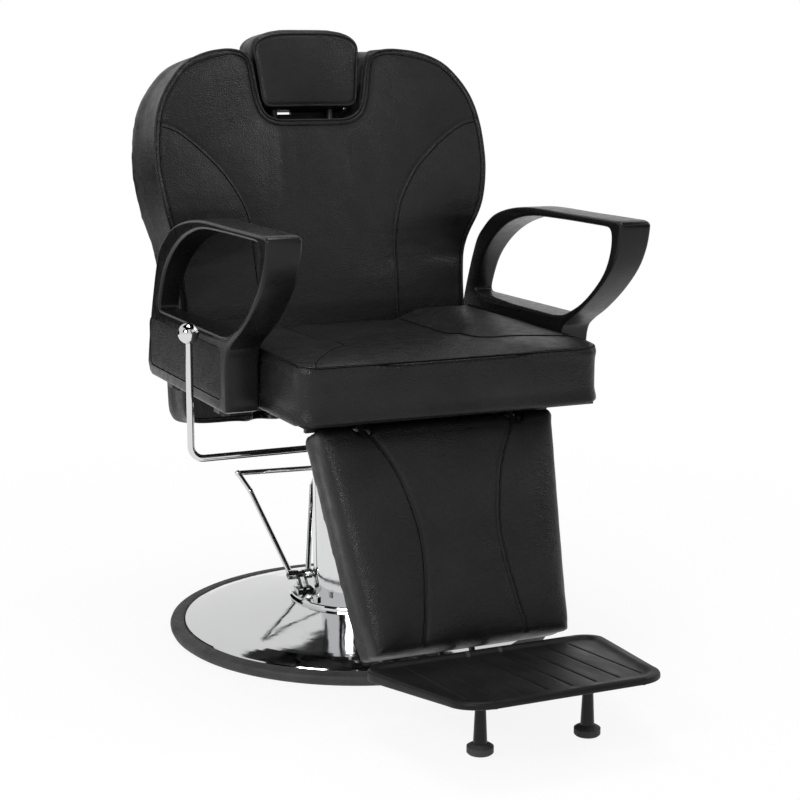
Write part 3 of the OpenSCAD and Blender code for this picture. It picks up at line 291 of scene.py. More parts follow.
# %% Leatherette
leather = finish(
    "black_leatherette", (0.009, 0.009, 0.0095), 0.38, 0.3,
    hue=((11, 4), (0.006, 0.006, 0.0064), (0.012, 0.012, 0.0125)), gloss=((55, 4), 0.29, 0.45),
    bumps=[((18, 3, (1, 1, 1), 1.2), 0.003, 0.4), ((150, 4), 0.0005, 0.5), (520, 0.0007, 0.9)])
thread = finish("black_thread", (0.016, 0.016, 0.0165), 0.5, 0.35,
                bumps=[((2600, 2, (1, 1, 3)), 0.0002, 0.6)])
# The next finish is near black with almost no gloss: painted shade for the shadow in the crease beside
# each row of stitches.
fold = finish("stitched_fold", (0.002, 0.002, 0.002), 0.9, 0.05, bumps=[((700, 2), 0.0003, 0.4)])
print("covers:", leather.name, thread.name, fold.name)

# %% [markdown]
# ### Moulded plastics and rubber
# The armrests are self-skinned foam with a close satin skin, and their side panels and the
# footplate are coarser moulded plastic. The floor ring and the pads are soft grey rubber.

# %% Plastics and rubber
skin = finish(
    "satin_foam_skin", (0.007, 0.007, 0.0074), 0.3, 0.26,
    hue=((8, 3), (0.005, 0.005, 0.0053), (0.009, 0.009, 0.0095)), gloss=((90, 4), 0.25, 0.36),
    bumps=[((14, 2), 0.002, 0.12), ((900, 2), 0.0002, 0.15)])
panel_skin = finish(
    "grained_panel", (0.010, 0.010, 0.0105), 0.44, 0.24,
    hue=((420, 3), (0.006, 0.006, 0.0065), (0.015, 0.015, 0.016)), gloss=((60, 3), 0.42, 0.56),
    bumps=[(480, 0.0006, 0.8), ((1100, 2), 0.0002, 0.4)])
plate_skin = finish(
    "moulded_footplate", (0.008, 0.008, 0.0085), 0.4, 0.19,
    hue=((16, 5), (0.005, 0.005, 0.0053), (0.010, 0.010, 0.0106)),
    gloss=((38, 5, (1, 0.3, 1)), 0.36, 0.55), bumps=[((700, 3), 0.0003, 0.4)])
rubber = finish(
    "grey_rubber_skin", (0.055, 0.055, 0.057), 0.6, 0.3,
    hue=((30, 5), (0.042, 0.042, 0.044), (0.068, 0.068, 0.07)), gloss=((140, 3), 0.55, 0.72),
    bumps=[((520, 3), 0.0004, 0.4)])
print("moulded:", skin.name, panel_skin.name, plate_skin.name, rubber.name)

# %% [markdown]
# ### Metals, paint and covered board
# Chrome over pressed steel is a mirror that is never quite flat: a slow noise bends its
# reflections. Frame parts are painted black with a faint orange peel, and the boards under
# the cushions are covered with black lining cloth.

# %% Metals, paint and board
chrome = finish(
    "polished_chrome", (0.69, 0.693, 0.70), 0.06, metallic=1.0,
    gloss=((60, 6, (1, 1, 0.2)), 0.04, 0.1), bumps=[((9, 2), 0.012, 0.1), ((45, 3), 0.0015, 0.06)])
frame_paint = finish(
    "satin_frame_paint", (0.02, 0.02, 0.021), 0.38,
    hue=((26, 5), (0.016, 0.016, 0.017), (0.028, 0.028, 0.029)), gloss=((75, 4), 0.3, 0.48),
    bumps=[((260, 2), 0.0004, 0.35)])
gloss_paint = finish("black_foot_paint", (0.006, 0.006, 0.0064), 0.3, 0.25,
                     gloss=((90, 4), 0.25, 0.42), bumps=[((300, 2), 0.0003, 0.3)])
weave = [(900, 1, (1, 0.12, 0.12)), (900, 1, (0.12, 0.12, 1))]
lining = finish("black_lining_cloth", (0.02, 0.02, 0.02), 0.85, 0.2,
                hue=((35, 4), (0.014, 0.014, 0.014), (0.028, 0.028, 0.028)),
                bumps=[(thread_set, 0.0004, 0.6) for thread_set in weave])

finishes = {"upholstery": leather, "plywood": lining, "arm_plastic": skin, "panel_plastic": panel_skin,
            "black_paint": gloss_paint, "grey_rubber": rubber, "chrome_steel": chrome,
            "frame_steel": frame_paint}


# %% Finishes on the solids that stay
def dress_solids():
    """Puts the finish of each record slot on the material slots of every CAD node."""
    count = 0
    for node in nodes.values():
        for holder in node.material_slots:
            key = holder.material.name.split(".")[0] if holder.material else ""
            holder.material = finishes.get(key, frame_paint)
            count += 1
    return count


print("material slots dressed:", dress_solids())

# %% [markdown]
# ## Building blocks
# New pieces are arrays of points. These helpers put arrays into meshes, run smooth curves
# through a few chosen points, and carry a profile along a path.

# %% Meshes from arrays
def make_piece(name, points, faces, finish, smooth=True):
    """An object at the origin whose mesh holds these points and faces."""
    mesh = bpy.data.meshes.new(name)
    mesh.from_pydata(np.asarray(points, float).reshape(-1, 3), [], faces)
    mesh.polygons.foreach_set("use_smooth", np.full(len(mesh.polygons), smooth))
    mesh.materials.append(finish)
    mesh.update()
    piece = bpy.data.objects.new(name, mesh)
    scene.collection.objects.link(piece)
    return piece


def points_of(piece):
    """All vertex places of a piece as an array of rows x, y, z."""
    flat = np.empty(len(piece.data.vertices) * 3, np.float32)
    piece.data.vertices.foreach_get("co", flat)
    return flat.reshape(-1, 3).astype(float)


def move_points(piece, points):
    """Writes an array of places back into a piece."""
    piece.data.vertices.foreach_set("co", np.asarray(points, np.float32).ravel())
    piece.data.update()


def normals_of(piece):
    """The unit normal at each vertex."""
    flat = np.empty(len(piece.data.vertices) * 3, np.float32)
    piece.data.vertex_normals.foreach_get("vector", flat)
    return flat.reshape(-1, 3).astype(float)


def unit(vectors):
    """Vectors scaled to length one along their last axis."""
    length = np.linalg.norm(vectors, axis=-1, keepdims=True)
    return vectors / np.maximum(length, 1e-12)


# %% Curves and distances
def smooth_line(points, steps=6, closed=False):
    """A Catmull-Rom curve: between two points b and c with neighbours a and d it is
    0.5 * (2b + (c-a)t + (2a-5b+4c-d)t^2 + (3b-a-3c+d)t^3)."""
    p = np.asarray(points, float)
    n = len(p)
    i = np.arange(n if closed else n - 1)
    pick = (lambda k: p[k % n]) if closed else (lambda k: p[np.clip(k, 0, n - 1)])
    a, b, c, d = (pick(i + k)[:, None, :] for k in (-1, 0, 1, 2))
    t = (np.arange(steps) / steps)[None, :, None]
    curve = 0.5 * (2 * b + (c - a) * t + (2 * a - 5 * b + 4 * c - d) * t ** 2
                   + (3 * b - a - 3 * c + d) * t ** 3)
    curve = curve.reshape(-1, p.shape[1])
    return curve if closed else np.vstack([curve, p[-1:]])


def even_line(points, gap, closed=False):
    """The same line with points an even distance apart, found on its running length."""
    p = np.asarray(points, float)
    if closed:
        p = np.vstack([p, p[:1]])
    run = np.concatenate([[0], np.cumsum(np.linalg.norm(np.diff(p, axis=0), axis=1))])
    count = max(3, int(round(run[-1] / gap)))
    at = np.linspace(0, run[-1], count + 1)
    line = np.stack([np.interp(at, run, p[:, k]) for k in range(p.shape[1])], axis=1)
    return line[:-1] if closed else line


def distance_to(points, line, block=20000):
    """The distance from each point to the nearest point of a line, by squared lengths."""
    line = np.asarray(line, float)
    found = np.empty(len(points))
    own = (line ** 2).sum(1)
    for k in range(0, len(points), block):
        part = points[k:k + block]
        square = (part ** 2).sum(1)[:, None] + own - 2 * part @ line.T
        found[k:k + block] = np.sqrt(np.maximum(square.min(1), 0))
    return found


def mirrored(points):
    """The same points with x reversed."""
    return np.asarray(points, float) * np.array([-1.0] + [1.0] * (np.shape(points)[1] - 1))


def signed_area(outline):
    """The area inside a closed plane outline, above zero if it runs anticlockwise."""
    x, y = outline.T
    return 0.5 * np.sum(x * np.roll(y, -1) - np.roll(x, -1) * y)


def rise(value, start, length):
    """0 up to the start, 1 from start + length on, and straight in between."""
    return np.clip((value - start) / length, 0, 1)


def rounded(distance, radius):
    """How far a rounded edge has fallen at a distance inside it: r - sqrt(r^2 - (r - d)^2)."""
    left = np.clip(radius - distance, 0, radius)
    return radius - np.sqrt(radius ** 2 - left ** 2)


# %% Welting and stitches
def directions(path, closed):
    """Unit tangents by central differences."""
    if closed:
        return unit(np.roll(path, -1, axis=0) - np.roll(path, 1, axis=0))
    return unit(np.gradient(path, axis=0))


def welt(name, path, up, radius, finish, closed=False, sides=8):
    """A round cord along a path: each ring is path + radius * (cos a * up + sin a * side),
    where up is made square to the path and side is their cross product."""
    path = np.asarray(path, float)
    along = directions(path, closed)
    up = unit(up - (up * along).sum(1, keepdims=True) * along)
    side = np.cross(along, up)
    angle = np.arange(sides) * 2 * math.pi / sides
    rings = path[:, None] + radius * (np.cos(angle)[None, :, None] * up[:, None]
                                      + np.sin(angle)[None, :, None] * side[:, None])
    n = len(path)
    i = np.arange(n if closed else n - 1)[:, None]
    j = np.arange(sides)[None, :]
    a, b = i * sides + j, i * sides + (j + 1) % sides
    c, d = ((i + 1) % n) * sides + (j + 1) % sides, ((i + 1) % n) * sides + j
    faces = np.stack([a, b, c, d], axis=-1).reshape(-1, 4).tolist()
    if not closed:
        faces += [list(range(sides))[::-1], list(range((n - 1) * sides, n * sides))]
    return make_piece(name, rings, faces, finish)


STITCH_PITCH, STITCH_LENGTH, STITCH_RADIUS = 0.0042, 0.003, 0.0005
# Sink and radius of the near-black cord that paints the shade under each row of stitches.
ROW_LIFT, STITCH_LIFT, SHADE_CORD_SUNK, SHADE_CORD_RADIUS, CORD_LIFT = 0.0003, 0.0004, 0.0009, 0.0016, 0.0004


def stitches(name, path, up):
    """A row of short threads. One stitch is two six-sided rings and two end points,
    copied to places an even pitch apart and turned along the seam."""
    both = even_line(np.hstack([path, up]), STITCH_PITCH)
    place, up = both[:, :3], both[:, 3:]
    along = directions(place, False)
    up = unit(up - (up * along).sum(1, keepdims=True) * along)
    side = np.cross(along, up)
    angle = np.arange(6) * math.pi / 3
    ring = STITCH_RADIUS * np.stack([np.zeros(6), np.cos(angle), np.sin(angle)], axis=1)
    tip, waist = STITCH_LENGTH / 2, STITCH_LENGTH * 0.28
    shape = np.vstack([[(-tip, 0, 0)], ring + [(-waist, 0, 0)], ring + [(waist, 0, 0)],
                       [(tip, 0, 0)]])
    points = (place[:, None] + shape[None, :, :1] * along[:, None]
              + shape[None, :, 1:2] * side[:, None] + shape[None, :, 2:] * up[:, None])
    k = np.arange(6)
    first = np.stack([np.zeros(6, int), 1 + (k + 1) % 6, 1 + k], axis=1)
    last = np.stack([np.full(6, 13), 7 + k, 7 + (k + 1) % 6], axis=1)
    middle = np.stack([1 + k, 1 + (k + 1) % 6, 7 + (k + 1) % 6, 7 + k], axis=1)
    shift = (np.arange(len(place)) * len(shape))[:, None, None]
    faces = np.concatenate([(first + shift).reshape(-1, 3), (last + shift).reshape(-1, 3)]).tolist()
    faces += (middle + shift).reshape(-1, 4).tolist()
    return make_piece(name, points, faces, thread)


def mount(piece, body, node=None):
    """Puts a piece on a body, in the place of a solid if one is named."""
    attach(piece, body)
    if node:
        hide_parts(node)


def row(name, line, up, body):
    """A row of stitches 0.7 mm above a line on a body, over a near-black cord that is
    3.2 mm wide and mostly sunk: painted shade for the shadow in the crease of the cover."""
    path = line + ROW_LIFT * up
    shade_cord = welt(name.replace("stitches", "fold"), path - SHADE_CORD_SUNK * up, up, SHADE_CORD_RADIUS, fold)
    mount(shade_cord, body)
    mount(stitches(name, path + STITCH_LIFT * up, up), body)


def piping(name, line, up, body, radius):
    """A covered cord 0.4 mm above a closed line on a body."""
    cord = welt(name, line + CORD_LIFT * up, up, radius, leather, closed=True)
    mount(cord, body)


# %% [markdown]
# ## Stuffed cushions
# Each cushion starts as its solid, merged and remeshed into even quads and drawn in by a few
# millimetres. Then it is blown up as cloth: the pressure swells every free panel, while the
# seams, the piped rim and the stapled back are held, so the panels bulge between them the
# way foam does under a tight cover. A limit keeps the cloth near the solid.

# %% Even quads
def freeze(piece):
    """Applies all modifiers of a piece to its mesh."""
    ready = piece.evaluated_get(bpy.context.evaluated_depsgraph_get())
    mesh = bpy.data.meshes.new_from_object(ready)
    piece.modifiers.clear()
    old = piece.data
    piece.data = mesh
    bpy.data.meshes.remove(old)


RELAX_AGAIN = 7


def even_copy(name, node, voxel, relax=4):
    """A copy of a solid in even quads of size voxel. They are relaxed, laid back on the
    solid, which takes out the waves that the grid leaves in slanted walls, and relaxed
    again."""
    mesh = nodes[node].data.copy()
    piece = bpy.data.objects.new(name, mesh)
    scene.collection.objects.link(piece)
    shell = bmesh.new()
    shell.from_mesh(mesh)
    bmesh.ops.remove_doubles(shell, verts=shell.verts, dist=1e-5)
    bmesh.ops.recalc_face_normals(shell, faces=shell.faces)
    shell.to_mesh(mesh)
    shell.free()
    remesh = piece.modifiers.new("even_quads", "REMESH")
    remesh.mode = "VOXEL"
    remesh.voxel_size = voxel
    for rounds in (relax, RELAX_AGAIN):
        smooth = piece.modifiers.new("relax", "SMOOTH")
        smooth.factor = 0.5
        smooth.iterations = rounds
        if rounds == relax:
            lay = piece.modifiers.new("lay_on_solid", "SHRINKWRAP")
            lay.target = nodes[node]
            lay.wrap_method = "NEAREST_SURFACEPOINT"
    freeze(piece)
    piece.data.materials.clear()
    piece.data.materials.append(leather)
    piece.data.polygons.foreach_set("use_smooth", np.ones(len(piece.data.polygons), bool))
    return piece


# %% Cloth under pressure
def even_out(piece, values, rounds):
    """Values on the vertices, each replaced by the mean of itself and the mean of its
    neighbours along the edges, a few times."""
    ends = np.empty(len(piece.data.edges) * 2, np.int32)
    piece.data.edges.foreach_get("vertices", ends)
    a, b = ends.reshape(-1, 2).T
    count = np.bincount(np.concatenate([a, b]), minlength=len(values))[:, None]
    for _ in range(rounds):
        total = np.stack([np.bincount(a, column[b], len(values))
                          + np.bincount(b, column[a], len(values)) for column in values.T], axis=1)
        values = 0.5 * values + 0.5 * total / np.maximum(count, 1)
    return values


def near_lines(points, lines, width):
    """1 on a line, falling as exp(-(distance / width)^2) away from it."""
    near = np.min([distance_to(points, line) for line in lines], axis=0)
    return np.exp(-(near / width) ** 2)


COVER = {"quality": 5, "mass": 0.3, "tension_stiffness": 15, "compression_stiffness": 15,
         "shear_stiffness": 5, "bending_stiffness": 0.5, "use_pressure": True,
         "uniform_pressure_force": 4.0, "vertex_group_mass": "held"}
FRAMES, HOLD_WIDTH, HOLD_LEVELS, QUICK_SWELL = 20, 0.005, 10, 0.0015


def blow_up(piece, edge, seams, limit, draw):
    """Cloth with pressure and no gravity. The cover is first drawn in by draw, but not
    where edge is 1, because a rim or a stapled back stays on the solid. Edges and seams are
    then held while the rest swells. No point moves further than the limit, and the
    movement is evened out over the mesh."""
    held = np.maximum(edge, near_lines(points_of(piece), seams, HOLD_WIDTH) if seams else 0)
    held = np.clip(held, 0, 1)
    move_points(piece, points_of(piece) - draw * (1 - edge)[:, None] * normals_of(piece))
    start = points_of(piece)
    group = piece.vertex_groups.new(name="held")
    level = np.round(held * HOLD_LEVELS).astype(int)
    for step in range(1, HOLD_LEVELS + 1):
        group.add(np.flatnonzero(level == step).tolist(), step / HOLD_LEVELS, "REPLACE")
    cloth = piece.modifiers.new("stuffing", "CLOTH")
    for setting, value in COVER.items():
        setattr(cloth.settings, setting, value)
    cloth.settings.effector_weights.gravity = 0
    cloth.collision_settings.use_collision = False
    cloth.point_cache.frame_start = 1
    cloth.point_cache.frame_end = FRAMES
    for number in range(1, FRAMES + 1):
        scene.frame_set(number)
    move = points_of(piece.evaluated_get(bpy.context.evaluated_depsgraph_get())) - start
    piece.modifiers.remove(cloth)
    piece.vertex_groups.clear()
    scene.frame_set(1)
    far = np.linalg.norm(move, axis=1)
    move *= np.minimum(1, limit / np.maximum(far, 1e-9))[:, None]
    move_points(piece, start + even_out(piece, move, 6))
    return float(np.median(far[held < 0.2]))


# %% Finer surface and seams
def subdivide_once(piece):
    """One level of subdivision, applied, so that seams can be pressed in finely."""
    finer = piece.modifiers.new("finer", "SUBSURF")
    finer.levels = finer.render_levels = 1
    freeze(piece)


def press_in(piece, lines, depth, width):
    """A groove along each line: every point sinks along its normal by
    depth * exp(-(distance / width)^2)."""
    points = points_of(piece)
    sink = depth * near_lines(points, lines, width)
    move_points(piece, points - sink[:, None] * normals_of(piece))


def surface_of(piece):
    """A search tree over the faces of a piece."""
    return BVHTree.FromObject(piece, bpy.context.evaluated_depsgraph_get())


def cast(tree, starts, direction):
    """Where rays from the starts meet the surface, with the normals there."""
    direction = Vector(direction)
    hits = [tree.ray_cast(Vector(s), direction)[:2] for s in starts]
    good = [(tuple(p), tuple(n)) for p, n in hits if p is not None]
    return np.array([g[0] for g in good]), np.array([g[1] for g in good])


def cling(tree, guesses):
    """The nearest surface point to each guess, with the normals there."""
    found = [tree.find_nearest(Vector(g))[:2] for g in guesses]
    return np.array([tuple(f[0]) for f in found]), np.array([tuple(f[1]) for f in found])


def settle(values, rounds=2, closed=False):
    """Evens out a row of values: each becomes a quarter of both neighbours plus half of
    itself, a few times."""
    values = np.array(values, float)
    for _ in range(rounds):
        if closed:
            values = 0.25 * np.roll(values, 1, 0) + 0.5 * values + 0.25 * np.roll(values, -1, 0)
        else:
            values[1:-1] = 0.25 * values[:-2] + 0.5 * values[1:-1] + 0.25 * values[2:]
    return values


def both_sides(tree, start, axis):
    """The (line, normals) of a seam and of its mirror image, cast on to a surface."""
    return cast(tree, start, axis), cast(tree, mirrored(start), axis)


SEAM_DEPTH, SEAM_WIDTH, ROW_ASIDE = 0.0020, 0.0026, 0.0045


def outer_rows(name, tree, seams, body, reach=1.0):
    """A row of stitches on the outer side of each of two seams, out to x = reach."""
    for side, (line, up) in zip(("left", "right"), seams):
        across = unit(np.cross(directions(line, False), up))
        outward = across * np.sign(across[:, :1] * line[:, :1])
        line, up = cling(tree, line + ROW_ASIDE * outward)
        inside = np.abs(line[:, 0]) < reach
        row(name + side, line[inside], up[inside], body)


def hand_over(piece, body, node, swell):
    """Puts a cushion on its body in the place of its solid, and says how far it swelled."""
    mount(piece, body, node)
    print(piece.name, len(piece.data.polygons), "faces, swelled", round(swell * 1000, 1), "mm")

# %% [markdown]
# ## Backrest cushion
# The back is one tall cushion: a narrow waist between the armrests, wings that turn forward
# at shoulder height and a deep notch for the headrest. Two curved seams part a flat middle
# panel from the side bolsters, and a piped rim joins the front to the side band.

# %% Backrest lines
def face_frame(foot, lean):
    """The axis into a leaning cushion, the axis up its face, and a function that takes a
    place on it to the chair: foot + x along X - depth * axis + height * up."""
    axis = np.array([0.0, math.cos(lean), -math.sin(lean)])
    up = np.array([0.0, math.sin(lean), math.cos(lean)])

    def to_chair(x, depth, height):
        x, depth, height = np.broadcast_arrays(x, depth, height)
        side = np.stack([x, np.zeros_like(x), np.zeros_like(x)], axis=-1)
        return foot + side - depth[..., None] * axis + height[..., None] * up

    return axis, up, to_chair


BACK_FOOT = np.array([0.0, 0.214, 0.310])
BACK_AXIS, BACK_UP, on_back = face_frame(BACK_FOOT, math.radians(6.8))
IN_FRONT, RIM_INSET, RIM_BEHIND = 0.4, 0.003, 0.002


back_points = np.array([
    (224, 0), (241, 6), (249, 24), (250, 70), (250, 186), (256, 252), (262, 292), (277, 342),
    (285.5, 390), (287, 420), (284, 462), (274.5, 504), (256, 538), (225, 572), (182, 591),
    (135, 600)]) / 1000
back_half = smooth_line(back_points, 4)
notch_half = np.array([(118, 597), (104, 589), (98, 577), (94, 551), (90, 523), (82, 499),
                       (66, 488), (40, 486), (0, 486)]) / 1000
back_rim = np.vstack([back_half, smooth_line(notch_half, 3)])
back_rim = np.vstack([back_rim, mirrored(back_rim[-2::-1])])
back_rim = settle(even_line(back_rim, 0.006, closed=True), 2, closed=True)
back_seam = smooth_line(np.array([
    (284, 479), (255, 474), (230, 461), (200, 437), (170, 407), (148, 376), (132, 345), (123, 310),
    (119.5, 270), (118, 228), (116, 184), (112, 60), (108, 8)]) / 1000, 6)
back_seam = even_line(back_seam, 0.004)


def inward(outline):
    """Unit normals of a closed plane outline that point into it."""
    along = directions(outline, True)
    left = np.stack([-along[:, 1], along[:, 0]], axis=1)
    return left if signed_area(outline) > 0 else -left


def on_face(tree, line):
    """A line of (x, height), cast from in front on to the face of a cushion on the back."""
    return cast(tree, on_back(line[:, 0], IN_FRONT, line[:, 1]), BACK_AXIS)


def rim_on(tree, outline, look):
    """A rim line on a cushion. The depth of its face is met by a ray at the distance look
    inside the outline. The rim is 2 mm behind that depth and 3 mm inside the outline, on
    the nearest surface."""
    met, _ = on_face(tree, outline + look * inward(outline))
    depth = settle((BACK_FOOT - met) @ BACK_AXIS, 6, closed=True)
    edge = outline + RIM_INSET * inward(outline)
    place, _ = cling(tree, on_back(edge[:, 0], depth - RIM_BEHIND, edge[:, 1]))
    return settle(place, 1, closed=True)


# %% Smooth outline
def even_outline(piece):
    """The solid's outline has straight steps. Every point's x is multiplied by
    smooth half width / stepped half width at its height, which bends the steps into the
    curve that runs through them."""
    stepped = smooth_line(back_points, 2)
    smooth = smooth_line(back_points, 14)
    points = points_of(piece)
    height = (points - BACK_FOOT) @ BACK_UP
    ratio = (np.interp(height, smooth[:, 1], smooth[:, 0])
             / np.interp(height, stepped[:, 1], stepped[:, 0]))
    move_points(piece, points * np.column_stack([ratio, np.ones_like(ratio), np.ones_like(ratio)]))
    return float(np.abs(points[:, 0] * (ratio - 1)).max())


# %% Backrest stuffing
BACK_LOOK, STAPLED_BAND, RIM_HOLD = 0.014, 0.040, 0.009
back = even_copy("backrest_cushion", "back_cushion", 0.0055, 7)
print("outline evened by up to", round(even_outline(back) * 1000, 1), "mm")
tree = surface_of(back)
seam_start = on_back(back_seam[:, 0], IN_FRONT, back_seam[:, 1])
seam_lines = [line for line, _ in both_sides(tree, seam_start, BACK_AXIS)]
back_edge = rim_on(tree, back_rim, BACK_LOOK)
places = points_of(back)
depth_here = (BACK_FOOT - places) @ BACK_AXIS
edge = np.maximum(rise(STAPLED_BAND - depth_here, 0, 0.02),
                  near_lines(places, [back_edge], RIM_HOLD))
swell = blow_up(back, edge, seam_lines, 0.0085, draw=0.004)
subdivide_once(back)
back_seams = both_sides(surface_of(back), seam_start, BACK_AXIS)
press_in(back, [line for line, _ in back_seams], SEAM_DEPTH, SEAM_WIDTH)
hand_over(back, "backrest", "back_cushion", swell)


# %% Backrest welting and stitches
CREASE_ASIDE, CREASE_DEPTH, CREASE_WIDTH = 0.0034, 0.0014, 0.0018
RIM_ROW_INSET, ROW_REACH = 0.0105, 0.270


def raise_rim(piece, outline, look):
    """The rim line with its normals, after a groove of 1.4 mm is pressed in on each side
    of it, 3.4 mm away, so that the cord stands up between two folds."""
    tree = surface_of(piece)
    line = settle(rim_on(tree, outline, look), 3, closed=True)
    _, up = cling(tree, line)
    up = unit(settle(up, 6, closed=True))
    aside = unit(np.cross(directions(line, True), up))
    press_in(piece, [line + CREASE_ASIDE * aside, line - CREASE_ASIDE * aside],
             CREASE_DEPTH, CREASE_WIDTH)
    return line, up


piping("backrest_piping", *raise_rim(back, back_rim, BACK_LOOK), "backrest", 0.0021)
tree = surface_of(back)
inner_rim = back_rim + RIM_ROW_INSET * inward(back_rim)
row("backrest_rim_stitches", *on_face(tree, inner_rim), "backrest")
outer_rows("backrest_stitches_", tree, back_seams, "backrest", ROW_REACH)

# %% [markdown]
# ## Seat cushion
# The seat is a thick block with raised bolsters along its sides and a front edge that rolls
# over. A stitched seam runs round the wall a little below its top edge, and two seams part
# the bolsters from the middle and sweep out to the front corners.

# %% Seat lines
SEAT_HALF, SEAT_FRONT, SEAT_REAR, SEAT_LOW = 0.238, -0.350, 0.099, 0.403
CORNER = 0.028
wall_right = [(SEAT_HALF, y) for y in np.linspace(SEAT_REAR - 0.012, SEAT_FRONT + CORNER, 40)]
corner = [(SEAT_HALF - CORNER * (1 - math.cos(a)), SEAT_FRONT + CORNER * (1 - math.sin(a)))
          for a in np.linspace(0, math.pi / 2, 9)[1:]]
wall_front = [(x, SEAT_FRONT) for x in np.linspace(SEAT_HALF - 0.034, 0, 22)]
wall_half = np.array(wall_right + corner + wall_front)
wall_line = np.vstack([wall_half, mirrored(wall_half[-2::-1])])
wall_height = np.interp(wall_line[:, 1], [-0.35, -0.30, -0.2, 0.1], [0.483, 0.486, 0.489, 0.492])
seat_seam_left = even_line(smooth_line(np.array([
    (98, 76), (98, 0), (98, -80), (98, -150), (101, -192), (116, -222), (142, -238), (178, -251),
    (214, -266), (233, -279)]) / 1000, 6), 0.004)
seat_seam_right = even_line(smooth_line(np.array([
    (-98, 76), (-98, 0), (-98, -90), (-99, -183), (-112, -208), (-132, -230), (-150, -254),
    (-166, -279), (-181, -299), (-196, -322), (-205, -343)]) / 1000, 6), 0.004)


def down_on(tree, line):
    """A plan line dropped from above on to a surface."""
    starts = np.column_stack([line, np.full(len(line), 0.62)])
    return cast(tree, starts, (0, 0, -1))


def round_wall(tree, heights):
    """A line round the seat's wall, on the nearest surface to it, evened out."""
    place, up = cling(tree, np.column_stack([wall_line, heights]))
    place = settle(place, 6)
    place[:, 2] = heights
    return place, unit(settle(up, 6))


def seat_lines(tree):
    """The two seams on the seat's top and the one round its wall."""
    return [down_on(tree, seat_seam_left)[0], down_on(tree, seat_seam_right)[0],
            round_wall(tree, wall_height)[0]]


# %% Seat stuffing
HEM, WALL_HOLD = 0.022, 0.7
seat = even_copy("seat_pad", "seat_cushion", 0.0055)
seam_lines = seat_lines(surface_of(seat))
places = points_of(seat)
edge = np.maximum(rise(SEAT_LOW + HEM - places[:, 2], 0, 0.015),
                  WALL_HOLD * near_lines(places, seam_lines[2:], RIM_HOLD))
swell = blow_up(seat, edge, seam_lines, 0.009, draw=0.004)
subdivide_once(seat)
press_in(seat, seat_lines(surface_of(seat)), 0.0018, SEAM_WIDTH)
hand_over(seat, "seat_frame", "seat_cushion", swell)

# %% Seat stitches
tree = surface_of(seat)
row("seat_wall_stitches", *round_wall(tree, wall_height + 0.0035), "seat_frame")
for side, line, sign in (("left", seat_seam_left, 1), ("right", seat_seam_right, -1)):
    along = directions(line, False)
    aside = np.stack([-along[:, 1], along[:, 0]], axis=1)
    aside *= np.sign(aside[:, :1] * sign + 1e-9)
    row("seat_stitches_" + side, *down_on(tree, line + ROW_ASIDE * aside), "seat_frame")

# %% [markdown]
# ## Headrest cushion
# A small firm block with large round upper corners and a piped front rim. It slides on two
# chromed stalks, so its cushion and piping ride on the headrest.

# %% Headrest
HEAD_LOW, HEAD_H = 0.503, 0.130
HEAD_LOOK, HEAD_STAPLED, HEAD_HOLD = 0.012, 0.016, 0.008


def head_outline():
    """Half width against height: sides that open by 14 mm, lower corners of 12 mm and an
    arched top, 30 mm high and 70 mm long on each side, less 2 mm behind the front rim."""
    up = HEAD_H / 2 * (1 - np.cos(np.linspace(0, math.pi, 60)))
    half = 0.084 + 0.014 * up / HEAD_H - rounded(up, 0.012) - rounded(HEAD_H - up, 0.030) * 70 / 30
    height = HEAD_LOW + up * (HEAD_H - 0.006) / HEAD_H
    side = np.column_stack([half, height])
    return even_line(np.vstack([side, mirrored(side[::-1])]), 0.005, closed=True)


head_rim = head_outline()
head = even_copy("headrest_pad", "headrest_cushion", 0.004)
head_edge = rim_on(surface_of(head), head_rim, HEAD_LOOK)
places = points_of(head)
depth_here = (BACK_FOOT - places) @ BACK_AXIS
edge = np.maximum(rise(HEAD_STAPLED - depth_here, 0, 0.008),
                  near_lines(places, [head_edge], HEAD_HOLD))
swell = blow_up(head, edge, [], 0.006, draw=0.0015)
subdivide_once(head)
piping("headrest_piping", *raise_rim(head, head_rim, HEAD_LOOK), "headrest", 0.0019)
hand_over(head, "headrest", "headrest_cushion", swell)

# %% [markdown]
# ## Leg rest cushion
# A tapering pad that hangs from the front of the seat. Two seams run down its face and bow
# towards each other, each with a row of stitches on its outer side.

# %% Leg rest lines
LEG_FOOT = np.array([0.0, -0.283, 0.372])
LEG_AXIS, LEG_UP, on_leg = face_frame(LEG_FOOT, math.radians(22.5))
leg_seam = even_line(smooth_line(np.array([
    (111, 0.5), (98, -20), (86, -42), (76.5, -65), (70, -88), (64, -115), (60, -141), (59, -167),
    (61, -200), (65.5, -230), (70, -260), (75, -285), (79, -302)]) / 1000, 6), 0.004)

# %% Leg rest corners
LEG_TOP, LEG_BOTTOM, LEG_HALF_TOP, LEG_HALF_LOW = 0.012, -0.312, 0.187, 0.154
SOLID_CORNER, COVER_CORNER, DRAWN_UP, DRAW_RAMP = 0.015, 0.005, 0.0045, 0.012


def square_corners(piece):
    """The solid's lower corners have a radius of 15 mm and the cover's only 5 mm: x is
    multiplied by the ratio of the two half widths. Then the top edge is drawn up under the
    seat by 4.5 mm, in a ramp over its last 12 mm."""
    points = points_of(piece)
    height = (points - LEG_FOOT) @ LEG_UP
    half = np.interp(height, [LEG_BOTTOM, LEG_TOP], [LEG_HALF_LOW, LEG_HALF_TOP])
    above = np.clip(height - LEG_BOTTOM, 0, 1)
    points[:, 0] *= (half - rounded(above, COVER_CORNER)) / (half - rounded(above, SOLID_CORNER))
    ramp = rise(height, LEG_TOP - DRAW_RAMP, DRAW_RAMP)
    move_points(piece, points + DRAWN_UP * ramp[:, None] * LEG_UP)


